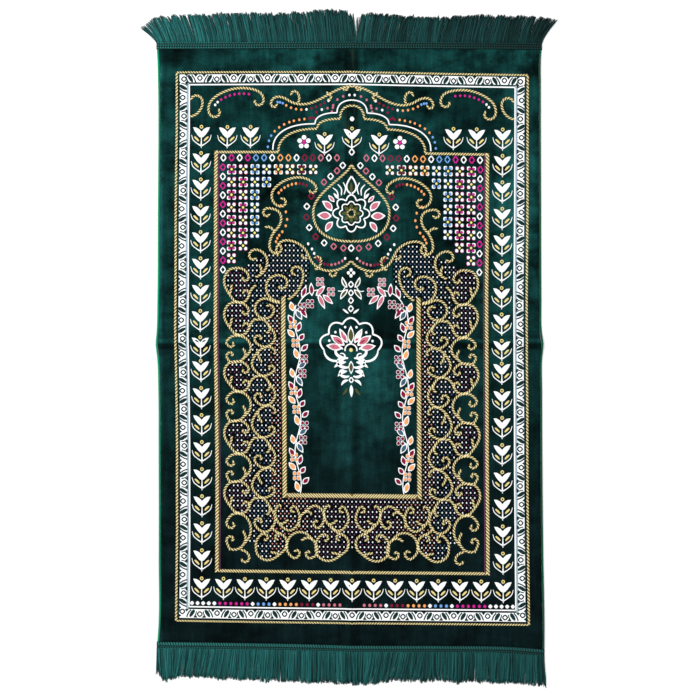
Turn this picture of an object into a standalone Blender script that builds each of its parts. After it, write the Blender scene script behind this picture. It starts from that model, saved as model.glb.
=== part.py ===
"""Velvet-pile prayer rug, lying flat and open, with a fringed heading tape at each short end.

Units are metres. +X runs to the rug's right, +Y towards the tip of its niche, +Z up. The rug lies on
Z = 0 and its overall box is centred on the origin. The tables hold millimetres, and MM turns them into
metres.
"""

import math
import random
from collections import namedtuple

import bmesh
import bpy
import numpy as np

MM = 0.001

# Driving sizes
CLOTH_THICK = 3.0 * MM
BINDING_WIDE = 3.6 * MM
BINDING_THICK = 3.4 * MM
TAPE_WIDE = 13.0 * MM
TAPE_THICK = 2.2 * MM
PIECE_GAP = 0.3 * MM

# Fringe
STRANDS_PER_END = 120
STRAND_SPACING = 0.7 * MM       # clear space between two roots
STRAND_FILL = 0.84              # width of a strand as a share of its own room
STRAND_THICK = 1.8 * MM
TIP_THICK = 0.9 * MM
TIP_TAPER = 0.62                # width at the tip as a share of the width at the bend
BEND_SHARE = 0.42               # where along its length a strand bends
LEAN_CURVE = 1.4                # the sideways lean grows with the length to this power
LENGTH_SPREAD = 1.6 * MM
LEAN_SPREAD = 0.5 * MM
FRINGE_SEED = 11

# Grid of the cloth: even lines to each side of a crease, and closer ones over it
EVEN_COLUMNS = 6
EVEN_ROWS = 9
CREASE_CLEAR = 3.0              # half widths of a crease between its middle and the even lines

# Section of an overlocked edge, as shares of its width from the outer side and of its thickness
BindingPoint = namedtuple("BindingPoint", "inward up")
BINDING_SECTION = [
    BindingPoint(0.30, 0.00),
    BindingPoint(1.00, 0.00),
    BindingPoint(1.00, 0.90),
    BindingPoint(0.65, 1.00),
    BindingPoint(0.12, 0.75),
    BindingPoint(0.00, 0.40),
]

# Outer edges of the two long sides, at heights along the rug
SideRow = namedtuple("SideRow", "y left right")
SIDES = [
    SideRow(-552, -350.3, 357.1),
    SideRow(-515, -347.5, 357.3),
    SideRow(-380, -346.7, 355.1),
    SideRow(-190, -346.9, 353.3),
    SideRow(-78, -347.5, 352.9),
    SideRow(-24, -349.1, 352.7),
    SideRow(4, -351.9, 355.1),
    SideRow(32, -350.3, 352.1),
    SideRow(86, -349.1, 351.6),
    SideRow(250, -348.2, 351.0),
    SideRow(480, -348.0, 350.5),
    SideRow(525, -349.1, 350.6),
    SideRow(558, -351.3, 353.1),
]

# Lines where the cloth meets the two heading tapes, at places across the rug
EndRow = namedtuple("EndRow", "x top bottom")
ENDS = [
    EndRow(-351, 543.4, -536.8),
    EndRow(-232, 543.8, -538.4),
    EndRow(-92, 544.2, -540.8),
    EndRow(6, 544.6, -543.4),
    EndRow(178, 543.8, -544.2),
    EndRow(298, 542.8, -546.2),
    EndRow(356, 542.0, -550.6),
]

# Fold creases: soft ridges along the rug (axis "y") or across it (axis "x"), at a place on the other axis
Crease = namedtuple("Crease", "axis place half_wide rise_start rise_middle rise_end")
CREASES = [
    Crease("y", 5.7, 17.0, 2.4, 1.5, 2.8),
    Crease("x", 9.5, 18.0, 2.0, 1.6, 2.0),
]

# Fringes: share of the way across the tape, sideways shift of the tape's outer edge there, and the
# sideways lean and the reach of the strands' tips past that edge
FringeRow = namedtuple("FringeRow", "share shift lean reach")
TOP_FRINGE = [
    FringeRow(0.000, 0.0, -27.3, 31.0),
    FringeRow(0.020, 0.0, -21.5, 45.0),
    FringeRow(0.060, 0.0, -16.0, 50.0),
    FringeRow(0.200, 0.0, -10.5, 53.0),
    FringeRow(0.350, 0.0, -8.0, 52.0),
    FringeRow(0.440, 0.0, -6.5, 60.0),
    FringeRow(0.500, 0.0, -6.0, 57.0),
    FringeRow(0.519, 0.0, -8.0, 47.0),
    FringeRow(0.521, 0.0, 7.0, 49.0),
    FringeRow(0.545, 0.0, 9.0, 54.5),
    FringeRow(0.610, 0.0, 11.0, 49.0),
    FringeRow(0.700, 0.0, 10.0, 45.5),
    FringeRow(0.810, 0.0, 11.0, 51.0),
    FringeRow(0.950, 0.0, 15.0, 47.0),
    FringeRow(1.000, 0.0, 25.6, 47.0),
]
BOTTOM_FRINGE = [
    FringeRow(0.000, 1.0, -1.0, 47.0),
    FringeRow(0.016, 0.0, 2.5, 58.0),
    FringeRow(0.034, 0.0, -1.5, 56.5),
    FringeRow(0.072, 0.0, -9.0, 50.5),
    FringeRow(0.082, 0.0, -4.5, 52.0),
    FringeRow(0.130, 0.0, -10.0, 52.0),
    FringeRow(0.220, 0.0, -4.0, 56.0),
    FringeRow(0.400, 0.0, -1.0, 57.5),
    FringeRow(0.500, 0.0, 3.5, 59.5),
    FringeRow(0.560, 0.0, -9.0, 59.0),
    FringeRow(0.620, 0.0, -13.0, 53.0),
    FringeRow(0.720, 0.0, -2.0, 53.0),
    FringeRow(0.870, 0.0, -1.0, 56.5),
    FringeRow(0.950, -1.0, 0.0, 55.0),
    FringeRow(1.000, -8.0, 3.0, 55.0),
]

# Colours, roughness: base colour is linear
PILE_COLOUR = (0.008, 0.068, 0.055)
BINDING_COLOUR = (0.006, 0.24, 0.115)
FRINGE_COLOUR = (0.016, 0.148, 0.112)
CLOTH_ROUGHNESS = 0.9


def smooth_line(knots, values, at):
    """Cubic curve through the points (knots, values), read at the places `at`."""
    knots = np.asarray(knots, float)
    values = np.asarray(values, float)
    at = np.clip(np.asarray(at, float), knots[0], knots[-1])
    slopes = np.gradient(values, knots)
    cell = np.clip(np.searchsorted(knots, at, side="right") - 1, 0, len(knots) - 2)
    step = knots[cell + 1] - knots[cell]
    t = (at - knots[cell]) / step
    start = (1 + 2 * t) * (1 - t) ** 2 * values[cell] + t * (1 - t) ** 2 * step * slopes[cell]
    end = t * t * (3 - 2 * t) * values[cell + 1] - t * t * (1 - t) * step * slopes[cell + 1]
    return start + end


def column(table, name):
    """One named column of a table in millimetres, as metres."""
    return np.array([getattr(row, name) for row in table]) * MM


def side_edge(side, y):
    """X of the outer left or right edge of the rug at height y."""
    return smooth_line(column(SIDES, "y"), column(SIDES, side), y)


def around(place, half_wide, low, high, steps):
    """Stations from low to high: even steps, and closer ones over a crease."""
    below = np.linspace(low, place - CREASE_CLEAR * half_wide, steps)
    above = np.linspace(place + CREASE_CLEAR * half_wide, high, steps)
    crease = place + half_wide * np.array([-1.0, -0.5, 0.0, 0.5, 1.0])
    return np.concatenate([below, crease, above])


def station_columns():
    """X of the cloth's columns in its nominal rectangle."""
    lengthwise = CREASES[0]
    ends = column(ENDS, "x")
    return around(lengthwise.place * MM, lengthwise.half_wide * MM, ends[0], ends[-1], EVEN_COLUMNS)


def station_rows():
    """Y of the cloth's rows in its nominal rectangle."""
    crosswise = CREASES[1]
    low = column(ENDS, "bottom").mean()
    high = column(ENDS, "top").mean()
    return around(crosswise.place * MM, crosswise.half_wide * MM, low, high, EVEN_ROWS)


def end_line(end, x):
    """Y of the line between the cloth and a heading tape, straight between the cloth's columns."""
    columns = station_columns()
    return np.interp(x, columns, smooth_line(column(ENDS, "x"), column(ENDS, end), columns))


def crease_lift(x, y):
    """Height by which the creases lift the rug off the floor at (x, y): the larger of the ridges."""
    lift = 0.0
    for crease in CREASES:
        across, along = (x, y) if crease.axis == "y" else (y, x)
        reach = column(SIDES, "y") if crease.axis == "y" else column(ENDS, "x")
        share = (along - reach[0]) / (reach[-1] - reach[0])
        rise = np.interp(share, [0.0, 0.5, 1.0], [crease.rise_start, crease.rise_middle, crease.rise_end])
        off = min(abs(across - crease.place * MM) / (crease.half_wide * MM), 1.0)
        lift = max(lift, rise * MM * math.cos(off * math.pi / 2) ** 2)
    return lift


def fabric(name, colour):
    """A matt cloth material."""
    material = bpy.data.materials.new(name)
    material.use_nodes = True
    shader = material.node_tree.nodes["Principled BSDF"]
    shader.inputs["Base Color"].default_value = (*colour, 1.0)
    shader.inputs["Roughness"].default_value = CLOTH_ROUGHNESS
    shader.inputs["Metallic"].default_value = 0.0
    return material


def finish(bm, name, material):
    """Turn a bmesh into a named object with outward faces."""
    bmesh.ops.recalc_face_normals(bm, faces=bm.faces)
    mesh = bpy.data.meshes.new(name)
    bm.to_mesh(mesh)
    bm.free()
    mesh.materials.append(material)
    body = bpy.data.objects.new(name, mesh)
    bpy.context.scene.collection.objects.link(body)
    return body


def cloth_point(x, y):
    """Place on the floor of the cloth's nominal point (x, y): the grid bent to the rug's outline."""
    columns, rows = station_columns(), station_rows()
    up = (y - rows[0]) / (rows[-1] - rows[0])
    across = (x - columns[0]) / (columns[-1] - columns[0])
    y_out = (1 - up) * end_line("bottom", x) + up * end_line("top", x)
    inset = BINDING_WIDE + PIECE_GAP
    left, right = side_edge("left", y) + inset, side_edge("right", y) - inset
    return (1 - across) * left + across * right, y_out


def build_cloth(material):
    """The pile cloth: a bent grid with the two crease ridges, extruded up to its thickness."""
    columns, rows = station_columns(), station_rows()
    bm = bmesh.new()
    across, along = len(columns) - 1, len(rows) - 1
    bmesh.ops.create_grid(bm, x_segments=across, y_segments=along, size=0.5)
    for vert in bm.verts:
        x = columns[round((vert.co.x + 0.5) * across)]
        y = rows[round((vert.co.y + 0.5) * along)]
        x, y = cloth_point(x, y)
        vert.co = (x, y, crease_lift(x, y))
    raised = bmesh.ops.extrude_face_region(bm, geom=list(bm.faces))["geom"]
    top = [item for item in raised if isinstance(item, bmesh.types.BMVert)]
    bmesh.ops.translate(bm, verts=top, vec=(0, 0, CLOTH_THICK))
    return finish(bm, "rug_cloth", material)


def loft(bm, rings):
    """Closed tube through equal rings of points, with flat ends."""
    loops = [[bm.verts.new(point) for point in ring] for ring in rings]
    count = len(loops[0])
    for near, far in zip(loops, loops[1:]):
        for i in range(count):
            j = (i + 1) % count
            bm.faces.new((near[i], near[j], far[j], far[i]))
    bm.faces.new(loops[0][::-1])
    bm.faces.new(loops[-1])


def build_binding(side, material):
    """Overlocked edge: a six-sided strip beside the cloth, flat on the floor."""
    inward = 1 if side == "left" else -1
    edge_column = station_columns()[0 if side == "left" else -1]
    rings = []
    for y in station_rows():
        outer = float(side_edge(side, y))
        along = cloth_point(edge_column, y)[1]
        lift = crease_lift(outer, along)
        rings.append([
            (outer + inward * point.inward * BINDING_WIDE, along, lift + point.up * BINDING_THICK)
            for point in BINDING_SECTION
        ])
    bm = bmesh.new()
    loft(bm, rings)
    return finish(bm, f"binding_{side}", material)


def half_widths(places):
    """Half the width that each strand may take at its place: it fills part of its closer spacing."""
    steps = np.diff(places)
    closer = np.minimum(np.append(steps, steps[-1]), np.insert(steps, 0, steps[0]))
    return closer * STRAND_FILL / 2


def fringe_column(table, name, shares):
    """One named column of a fringe table in metres, read at shares of the way across."""
    return np.interp(shares, [row.share for row in table], column(table, name))


def strand_tips(table, roots, outward, chance):
    """Tip of each strand: (x, reach), in the same left to right order as the roots."""
    shares = np.linspace(0.0, 1.0, len(roots))
    lean = fringe_column(table, "lean", shares)
    reach = fringe_column(table, "reach", shares)
    spread = np.array([(chance.uniform(-1, 1), chance.uniform(-1, 1)) for _ in roots])
    tips = roots + lean + spread[:, 0] * LEAN_SPREAD
    return np.sort(tips), outward * (reach + spread[:, 1] * LENGTH_SPREAD)


def build_tape(bm, end, outward, table):
    """The heading tape as a bar with one outer face per strand; returns those faces, left to right."""
    inner_y = end_line(end, 0.0) + outward * (PIECE_GAP + TAPE_WIDE / 2)
    left, right = side_edge("left", inner_y), side_edge("right", inner_y)
    shares = np.linspace(0.0, 1.0, STRANDS_PER_END + 1)
    stations = left + (right - left) * shares
    sections = []
    for x, shift in zip(stations, fringe_column(table, "shift", shares)):
        near = end_line(end, x) + outward * PIECE_GAP
        far = near + outward * TAPE_WIDE
        low = crease_lift(x, near)
        high = low + TAPE_THICK
        corners = [(x, near, low), (x + shift, far, low), (x + shift, far, high), (x, near, high)]
        sections.append([bm.verts.new(corner) for corner in corners])
    outer_faces = []
    for a, b in zip(sections, sections[1:]):
        for i in range(4):
            j = (i + 1) % 4
            face = bm.faces.new((a[i], a[j], b[j], b[i]))
            if i == 1:
                outer_faces.append(face)
    bm.faces.new(sections[0][::-1])
    bm.faces.new(sections[-1])
    return outer_faces


def grow_strand(bm, face, centre, half_wide, thick):
    """Extrude a strand's end face to a level section round a centre on the floor; returns the new face."""
    middle = face.calc_center_median()
    sides = [(vert.co.x > middle.x, vert.co.z > middle.z) for vert in face.verts]
    grown = bmesh.ops.extrude_discrete_faces(bm, faces=[face])["faces"][0]
    for vert, (is_right, is_high) in zip(grown.verts, sides):
        x = centre[0] + (half_wide if is_right else -half_wide)
        vert.co = (x, centre[1], thick if is_high else 0.0)
    return grown


def build_fringe(name, end, outward, table, material, chance):
    """A heading tape with its strands: each leaves the tape's outer face and rests level on the floor."""
    bm = bmesh.new()
    faces = build_tape(bm, end, outward, table)
    bmesh.ops.recalc_face_normals(bm, faces=bm.faces)
    bmesh.ops.inset_individual(bm, faces=faces, thickness=STRAND_SPACING / 2)
    roots = np.array([face.calc_center_median() for face in faces])
    tips_x, reaches = strand_tips(table, roots[:, 0], outward, chance)
    bends_x = roots[:, 0] + (tips_x - roots[:, 0]) * BEND_SHARE ** LEAN_CURVE
    bend_half = half_widths(bends_x)
    tip_half = half_widths(tips_x) * TIP_TAPER
    for i, face in enumerate(faces):
        bend = (bends_x[i], roots[i, 1] + reaches[i] * BEND_SHARE)
        tip = (tips_x[i], roots[i, 1] + reaches[i])
        face = grow_strand(bm, face, bend, bend_half[i], STRAND_THICK)
        grow_strand(bm, face, tip, tip_half[i], TIP_THICK)
    return finish(bm, name, material)


def centre_on_origin(bodies):
    """Hang every body on one empty, moved so that the rug's overall box is centred on the origin."""
    points = np.array([vert.co for body in bodies for vert in body.data.vertices])
    middle = (points.min(axis=0) + points.max(axis=0)) / 2
    frame = bpy.data.objects.new("rug_frame", None)
    bpy.context.scene.collection.objects.link(frame)
    frame.location = (-middle[0], -middle[1], 0.0)
    for body in bodies:
        body.parent = frame


def main():
    for leftover in list(bpy.data.objects):
        bpy.data.objects.remove(leftover)
    chance = random.Random(FRINGE_SEED)
    pile = fabric("pile_green", PILE_COLOUR)
    edging = fabric("overlock_green", BINDING_COLOUR)
    yarn = fabric("fringe_teal", FRINGE_COLOUR)
    centre_on_origin([
        build_cloth(pile),
        build_binding("left", edging),
        build_binding("right", edging),
        build_fringe("fringe_top", "top", 1, TOP_FRINGE, yarn, chance),
        build_fringe("fringe_bottom", "bottom", -1, BOTTOM_FRINGE, yarn, chance),
    ])


main()
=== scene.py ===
"""Velvet-pile prayer rug: pile, coloured yarns, stitched edges, headings and fringes around the CAD frame.

Units are metres. +X runs to the rug's right, +Y towards the tip of its niche, +Z up. The pattern is drawn on
a weaver's chart: a place is (cells from the rug's centre line, chart row), rows run down from the top, and
one cell is CELL wide and tall. Most of the chart is drawn for one side and mirrored to the other.
"""

import math

import bpy
import numpy as np
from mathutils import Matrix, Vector


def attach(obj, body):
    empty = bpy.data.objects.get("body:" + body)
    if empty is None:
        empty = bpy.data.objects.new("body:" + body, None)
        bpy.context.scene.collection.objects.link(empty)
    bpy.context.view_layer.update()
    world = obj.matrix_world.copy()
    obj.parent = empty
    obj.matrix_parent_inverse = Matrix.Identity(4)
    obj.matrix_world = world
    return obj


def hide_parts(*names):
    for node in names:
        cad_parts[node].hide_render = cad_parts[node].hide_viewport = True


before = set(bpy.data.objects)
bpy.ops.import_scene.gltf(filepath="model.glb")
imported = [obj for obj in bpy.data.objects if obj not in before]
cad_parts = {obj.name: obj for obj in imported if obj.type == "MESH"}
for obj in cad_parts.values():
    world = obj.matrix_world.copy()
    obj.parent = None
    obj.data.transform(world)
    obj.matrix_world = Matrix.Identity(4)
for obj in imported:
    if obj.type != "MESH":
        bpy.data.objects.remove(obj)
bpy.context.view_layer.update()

bl_info = {
    "name": "Prayer Rug",
    "version": (1, 0, 0),
    "blender": (4, 5, 0),
    "location": "3D View > Sidebar > Prayer Rug",
    "description": "Pile, coloured yarns, stitched edges and fringes of a velvet-pile prayer rug",
    "category": "Object",
}

MM = 0.001
BODY = "root"
UV_MAP = "OFBake"

# Chart
CELL = 1.8253 * MM
CENTRE_COLUMN = 352.1           # chart column of the rug's centre line
ORIGIN_COLUMN = 348.75          # chart column and row of the origin
ORIGIN_ROW = 347.25
TOP_ROW = 49.5                  # rows between which the pile runs
BOTTOM_ROW = 645.0
SHIFT_X = 0.34 * MM             # from the tables' origin to the centre of the CAD box
SHIFT_Y = 0.5 * MM

# How far the cloth has crept along the rug, in cells, at places across it: at its top end, above and below
# the cross crease, and at its bottom end
DRIFT_AT = (-175, -100, 0, 100, 175)
DRIFT_ROWS = (49.5, 343, 348, 645)
DRIFTS = ((0.6, 0.2, 0.0, 2.1, 3.2), (-1.0, -0.6, 0.0, 1.45, 3.4), (-1.05, -0.6, 0.0, 1.45, 1.9),
          (-2.7, -1.4, 0.0, 0.8, 1.6))
SIDE_DRIFT = 0.7                # sideways creep of the left side at the bottom, in cells
# How far the cloth sways sideways, in cells: at rows down it, for four places across it
SWAY_AT = (-175, -135, 135, 175)
SWAY_ROWS = (75, 130, 170, 210, 250, 290, 330, 370, 410, 450, 490, 530, 570, 620)
SWAY = (
    (0.0, -0.1, -0.7, -1.2, -1.35, -1.5, -1.9, -1.1, -0.5, -0.15, -0.3, -0.2, -0.7, -1.3),
    (0.1, 0.0, -0.6, -0.9, -0.9, -1.0, -1.3, -0.8, -0.1, 0.25, 0.4, 0.3, 0.1, -0.2),
    (-0.1, -0.1, -0.55, -0.8, -0.95, -1.3, -1.25, -1.1, -0.9, -0.85, -0.55, -0.15, 0.0, 0.2),
    (0.2, 0.1, 0.0, 0.0, -0.5, -0.85, -0.8, -0.6, -0.2, -0.2, 0.0, 0.4, 0.8, 1.4),
)

# Outline and creases, in millimetres: the CAD source's own values
SIDE_Y = (-552, -515, -380, -190, -78, -24, 4, 32, 86, 250, 480, 525, 558)
SIDE_LEFT = (-350.3, -347.5, -346.7, -346.9, -347.5, -349.1, -351.9, -350.3, -349.1, -348.2, -348.0, -349.1,
             -351.3)
SIDE_RIGHT = (357.1, 357.3, 355.1, 353.3, 352.9, 352.7, 355.1, 352.1, 351.6, 351.0, 350.5, 350.6, 353.1)
END_X = (-351, -232, -92, 6, 178, 298, 356)
END_TOP = (543.4, 543.8, 544.2, 544.6, 543.8, 542.8, 542.0)
END_BOTTOM = (-536.8, -538.4, -540.8, -543.4, -544.2, -546.2, -550.6)
LONG_CREASE = (5.7, 17.0, (2.4, 1.5, 2.8))      # place, half width, rise at start, middle and end
CROSS_CREASE = (9.5, 18.0, (2.0, 1.6, 2.0))
# Painted highlight and painted shade along the creases: rows of the highlight over the cross crease and of
# the shade under it, and the middle of the shaded trough along the long crease
PAINTED_CREASE_HIGHLIGHT, PAINTED_CREASE_SHADE, PAINTED_TROUGH_SHADE = 13.0 * MM, 2.4 * MM, 5.8 * MM    # bands of tone along the creases
PIECE_GAP = 0.3
TAPE_WIDE = 13.0
BINDING_WIDE = 3.6
BINDING_THICK = 3.4
TAPE_THICK = 2.2

# Fringes: share of the way across, sideways lean and reach past the heading, in millimetres
TOP_FRINGE = (
    (0.000, -27.3, 31.0), (0.020, -21.5, 45.0), (0.060, -16.0, 50.0), (0.200, -10.5, 53.0),
    (0.350, -8.0, 52.0), (0.440, -6.5, 60.0), (0.500, -6.0, 57.0), (0.519, -8.0, 47.0),
    (0.521, 7.0, 49.0), (0.545, 9.0, 54.5), (0.610, 11.0, 49.0), (0.700, 10.0, 45.5),
    (0.810, 11.0, 51.0), (0.950, 15.0, 47.0), (1.000, 25.6, 47.0),
)
BOTTOM_FRINGE = (
    (0.000, -1.0, 47.0), (0.016, 2.5, 58.0), (0.034, -1.5, 56.5), (0.072, -9.0, 50.5),
    (0.082, -4.5, 52.0), (0.130, -10.0, 52.0), (0.220, -4.0, 56.0), (0.400, -1.0, 57.5),
    (0.500, 3.5, 59.5), (0.560, -9.0, 59.0), (0.620, -13.0, 53.0), (0.720, -2.0, 53.0),
    (0.870, -1.0, 56.5), (0.950, 0.0, 55.0), (1.000, 3.0, 55.0),
)


def linear(code):
    """A colour given as 0xRRGGBB, as linear red, green and blue."""
    parts = [((code >> shift) & 255) / 255 for shift in (16, 8, 0)]
    return tuple(c / 12.92 if c <= 0.04045 else ((c + 0.055) / 1.055) ** 2.4 for c in parts)


# ---------------------------------------------------------------- settings

def length(name, default, description):
    """A length setting in millimetres' worth of metres."""
    return bpy.props.FloatProperty(
        name=name, default=default * MM, min=0.0, unit="LENGTH", precision=5, description=description)


def colour(name, code, description):
    """A colour setting."""
    return bpy.props.FloatVectorProperty(
        name=name, default=linear(code), size=3, min=0.0, max=1.0, subtype="COLOR", description=description)


class PrayerRugSizes(bpy.types.PropertyGroup):
    pile: length("Pile", 3.0, "Thickness of the pile cloth")
    yarn_rise: length("Yarn rise", 0.32, "Height of a coloured yarn over the pile")
    yarn_sink: length("Yarn sink", 0.15, "Depth of a coloured yarn's rim below the pile's face")
    overlock_pitch: length("Overlock pitch", 2.9, "Distance between two wraps of the stitched edges")
    yarn_thick: length("Fringe yarn", 0.8, "Thickness of one yarn of the fringes")
    yarns: bpy.props.IntProperty(
        name="Fringe yarns", default=4200, min=100, description="Yarns in each fringe")
    locks: bpy.props.IntProperty(
        name="Fringe locks", default=70, min=10, description="Groups that the strands of a fringe draw into")
    strands: bpy.props.IntProperty(
        name="Fringe strands", default=460, min=20, description="Twisted groups of yarns in each fringe")


class PrayerRugColours(bpy.types.PropertyGroup):
    # Pile and pile shade: the pile's colour as painted light towards the top of the rug, and as painted shade
    # at its foot
    pile: colour("Pile", 0x10403E, "Brushed pile in the light")
    pile_shade: colour("Pile shade", 0x0C2022, "Brushed pile at the rug's foot")
    lattice_ground: colour("Lattice ground", 0x04070C, "Dark pile under the lattice of dots")
    white: colour("White", 0xF6F8F8, "White yarn")
    gold_light: colour("Light gold", 0xEEDDA6, "Light stitches of the ropes")
    gold_shade: colour("Gold shade", 0x6C6038, "Brown-gold ground of the ropes")
    gold_leaf: colour("Gold leaf", 0xE2CE84, "Knobs and leaves of the tulips")
    magenta: colour("Magenta", 0xC8208C, "Magenta yarn")
    pink: colour("Pink", 0xC46C7E, "Pink yarn")
    dark_red: colour("Dark red", 0x7E1034, "Dark red yarn")
    blue: colour("Blue", 0x6C9EDC, "Blue yarn")
    orange: colour("Orange", 0xF0A060, "Orange yarn")
    yellow: colour("Yellow", 0xF0E078, "Yellow yarn")
    olive: colour("Olive", 0x4C4E26, "Olive yarn")
    plum: colour("Plum", 0x5E3450, "Small dots of the outer lattice")
    teal: colour("Teal", 0x3E5A70, "Small dots of the middle lattice, and grey leaves of the vine")
    salmon: colour("Salmon", 0xC48474, "Small dots of the lattice beside the niche")
    silver: colour("Silver", 0x98AAB4, "Grey-white yarn between the white side bands and their inner lines")
    ground: colour("Ground yarn", 0x0C2C2C, "Dark yarn drawn over the white border")
    overlock: colour("Overlock", 0x05875F, "Thread of the two stitched sides")
    heading: colour("Heading", 0x0B2E2C, "Woven headings at the two ends")
    stitch: colour("Stitch", 0x246460, "Stitches on the headings")
    fringe: colour("Fringe", 0x236765, "Fringe yarn")
    floor: colour("Floor", 0xFAFAFA, "Plain floor")


# ---------------------------------------------------------------- cloth surface

def smooth_line(knots, values, at):
    """Cubic Hermite curve through (knots, values), with slopes from the neighbours, read at `at`."""
    knots, values = np.asarray(knots, float), np.asarray(values, float)
    at = np.clip(at, knots[0], knots[-1])
    slopes = np.gradient(values, knots)
    span = np.clip(np.searchsorted(knots, at, side="right") - 1, 0, len(knots) - 2)
    step = knots[span + 1] - knots[span]
    t = (at - knots[span]) / step
    start = (1 + 2 * t) * (1 - t) ** 2 * values[span] + t * (1 - t) ** 2 * step * slopes[span]
    end = t * t * (3 - 2 * t) * values[span + 1] - t * t * (1 - t) * step * slopes[span + 1]
    return start + end


def side_edge(values, y):
    """X of an outer long edge at y."""
    return smooth_line(SIDE_Y, values, (np.asarray(y) - SHIFT_Y) / MM) * MM + SHIFT_X


def end_line(values, x):
    """Y of the line between the pile and a heading at x."""
    return smooth_line(END_X, values, (np.asarray(x) - SHIFT_X) / MM) * MM + SHIFT_Y


def crease_lift(x, y):
    """Height of the two crease ridges: for each, rise times squared cosine over its width; the larger."""
    x, y = (np.asarray(x) - SHIFT_X) / MM, (np.asarray(y) - SHIFT_Y) / MM
    lifts = []
    for (place, half, rises), across, along, low, high in (
            (LONG_CREASE, x, y, SIDE_Y[0], SIDE_Y[-1]), (CROSS_CREASE, y, x, END_X[0], END_X[-1])):
        rise = np.interp((along - low) / (high - low), [0.0, 0.5, 1.0], rises)
        off = np.minimum(np.abs(across - place) / half, 1.0)
        lifts.append(rise * MM * np.cos(off * math.pi / 2) ** 2)
    return np.maximum(*lifts)


def between_rows(across, row, places, rows, table):
    """A table with one line of values for each of some rows, read at any place between them."""
    levels = [np.interp(across, places, values) for values in table]
    share = np.interp(row, rows, range(len(rows)))
    line = np.clip(share.astype(int), 0, len(rows) - 2)
    low, high = np.choose(line, levels[:-1]), np.choose(line, levels[1:])
    return low + (share - line) * (high - low)


def sway(across, row):
    """Sideways sway of a chart place."""
    return between_rows(across, row, SWAY_AT, SWAY_ROWS, np.transpose(SWAY))


def on_rug(across, row):
    """Rug x and y of a chart place: the chart scaled by CELL, with the cloth's creep and sway added."""
    down = (row - TOP_ROW) / (BOTTOM_ROW - TOP_ROW)
    creep = between_rows(across, row, DRIFT_AT, DRIFT_ROWS, DRIFTS)
    sideways = SIDE_DRIFT * down * np.clip(-across / DRIFT_AT[-1], 0.0, 1.0) + sway(across, row)
    x = (CENTRE_COLUMN - ORIGIN_COLUMN + across + sideways) * CELL + SHIFT_X
    y = (ORIGIN_ROW - row - creep) * CELL + SHIFT_Y
    return x, y


def on_chart(x, y):
    """Chart place of a rug place: on_rug undone by correcting a guess twice, enough for so small a creep."""
    across = (x - SHIFT_X) / CELL - (CENTRE_COLUMN - ORIGIN_COLUMN)
    row = ORIGIN_ROW - (y - SHIFT_Y) / CELL
    for _ in range(2):
        guess_x, guess_y = on_rug(across, row)
        across, row = across - (guess_x - x) / CELL, row + (guess_y - y) / CELL
    return across, row


# ---------------------------------------------------------------- meshes

def grid_faces(rows, columns, close_rows=False, close_columns=False):
    """Quads between neighbouring points of a rows by columns grid; a closed side joins its last points
    to its first."""
    i = np.arange(rows if close_rows else rows - 1)[:, None]
    j = np.arange(columns if close_columns else columns - 1)[None, :]
    near, far = i * columns, (i + 1) % rows * columns
    left, right = j, (j + 1) % columns
    quads = np.stack(np.broadcast_arrays(near + left, near + right, far + right, far + left), axis=-1)
    return quads.reshape(-1, 4)


def triangles(quads):
    """Each quad cut into two triangles."""
    return np.concatenate([quads[:, [0, 1, 2]], quads[:, [0, 2, 3]]])


def slab_faces(rows, columns):
    """Faces of a slab: a rows by columns grid, the same grid turned over as its base, and a wall of quads
    round the rim between them."""
    faces = grid_faces(rows, columns)
    count = rows * columns
    ring = np.concatenate([
        np.arange(columns), np.arange(1, rows) * columns + columns - 1,
        (rows - 1) * columns + np.arange(columns - 2, -1, -1), np.arange(rows - 2, 0, -1) * columns])
    after = np.roll(ring, -1)
    sides = np.stack([ring + count, after + count, after, ring], axis=1)
    return np.concatenate([faces, faces[:, ::-1] + count, sides])


def join(shapes):
    """Several (points, faces) shapes as one."""
    starts = np.cumsum([0] + [len(points) for points, _ in shapes[:-1]])
    points = np.concatenate([points for points, _ in shapes])
    faces = np.concatenate([faces + start for (_, faces), start in zip(shapes, starts)])
    return points, faces


def make_piece(name, points, faces, material, uv=None, replaces=(), marks=None):
    """A mesh object from points and equal-sided faces, with a UV map and, by name, a number for each point,
    riding on the rug's body."""
    sides = faces.shape[1]
    mesh = bpy.data.meshes.new(name)
    mesh.vertices.add(len(points))
    mesh.vertices.foreach_set("co", np.asarray(points, np.float32).ravel())
    mesh.loops.add(faces.size)
    mesh.loops.foreach_set("vertex_index", faces.astype(np.int32).ravel())
    mesh.polygons.add(len(faces))
    mesh.polygons.foreach_set("loop_start", np.arange(0, faces.size, sides, dtype=np.int32))
    mesh.polygons.foreach_set("use_smooth", np.ones(len(faces), bool))
    if uv is None:
        low, high = points[:, :2].min(axis=0), points[:, :2].max(axis=0)
        uv = (points[:, :2] - low) / (high - low)
    layer = mesh.uv_layers.new(name=UV_MAP)
    layer.data.foreach_set("uv", np.asarray(uv, np.float32)[faces.ravel()].ravel())
    for mark, values in (marks or {}).items():
        mesh.attributes.new(mark, "FLOAT", "POINT").data.foreach_set("value", np.asarray(values, np.float32))
    mesh.update()
    if mesh.validate():
        raise RuntimeError(f"{name}: the mesh had faces that had to be mended")
    mesh.materials.append(material)
    piece = bpy.data.objects.new(name, mesh)
    bpy.context.scene.collection.objects.link(piece)
    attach(piece, BODY)
    if replaces:
        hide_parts(*replaces)
    return piece


# ---------------------------------------------------------------- shapes on the chart

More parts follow.
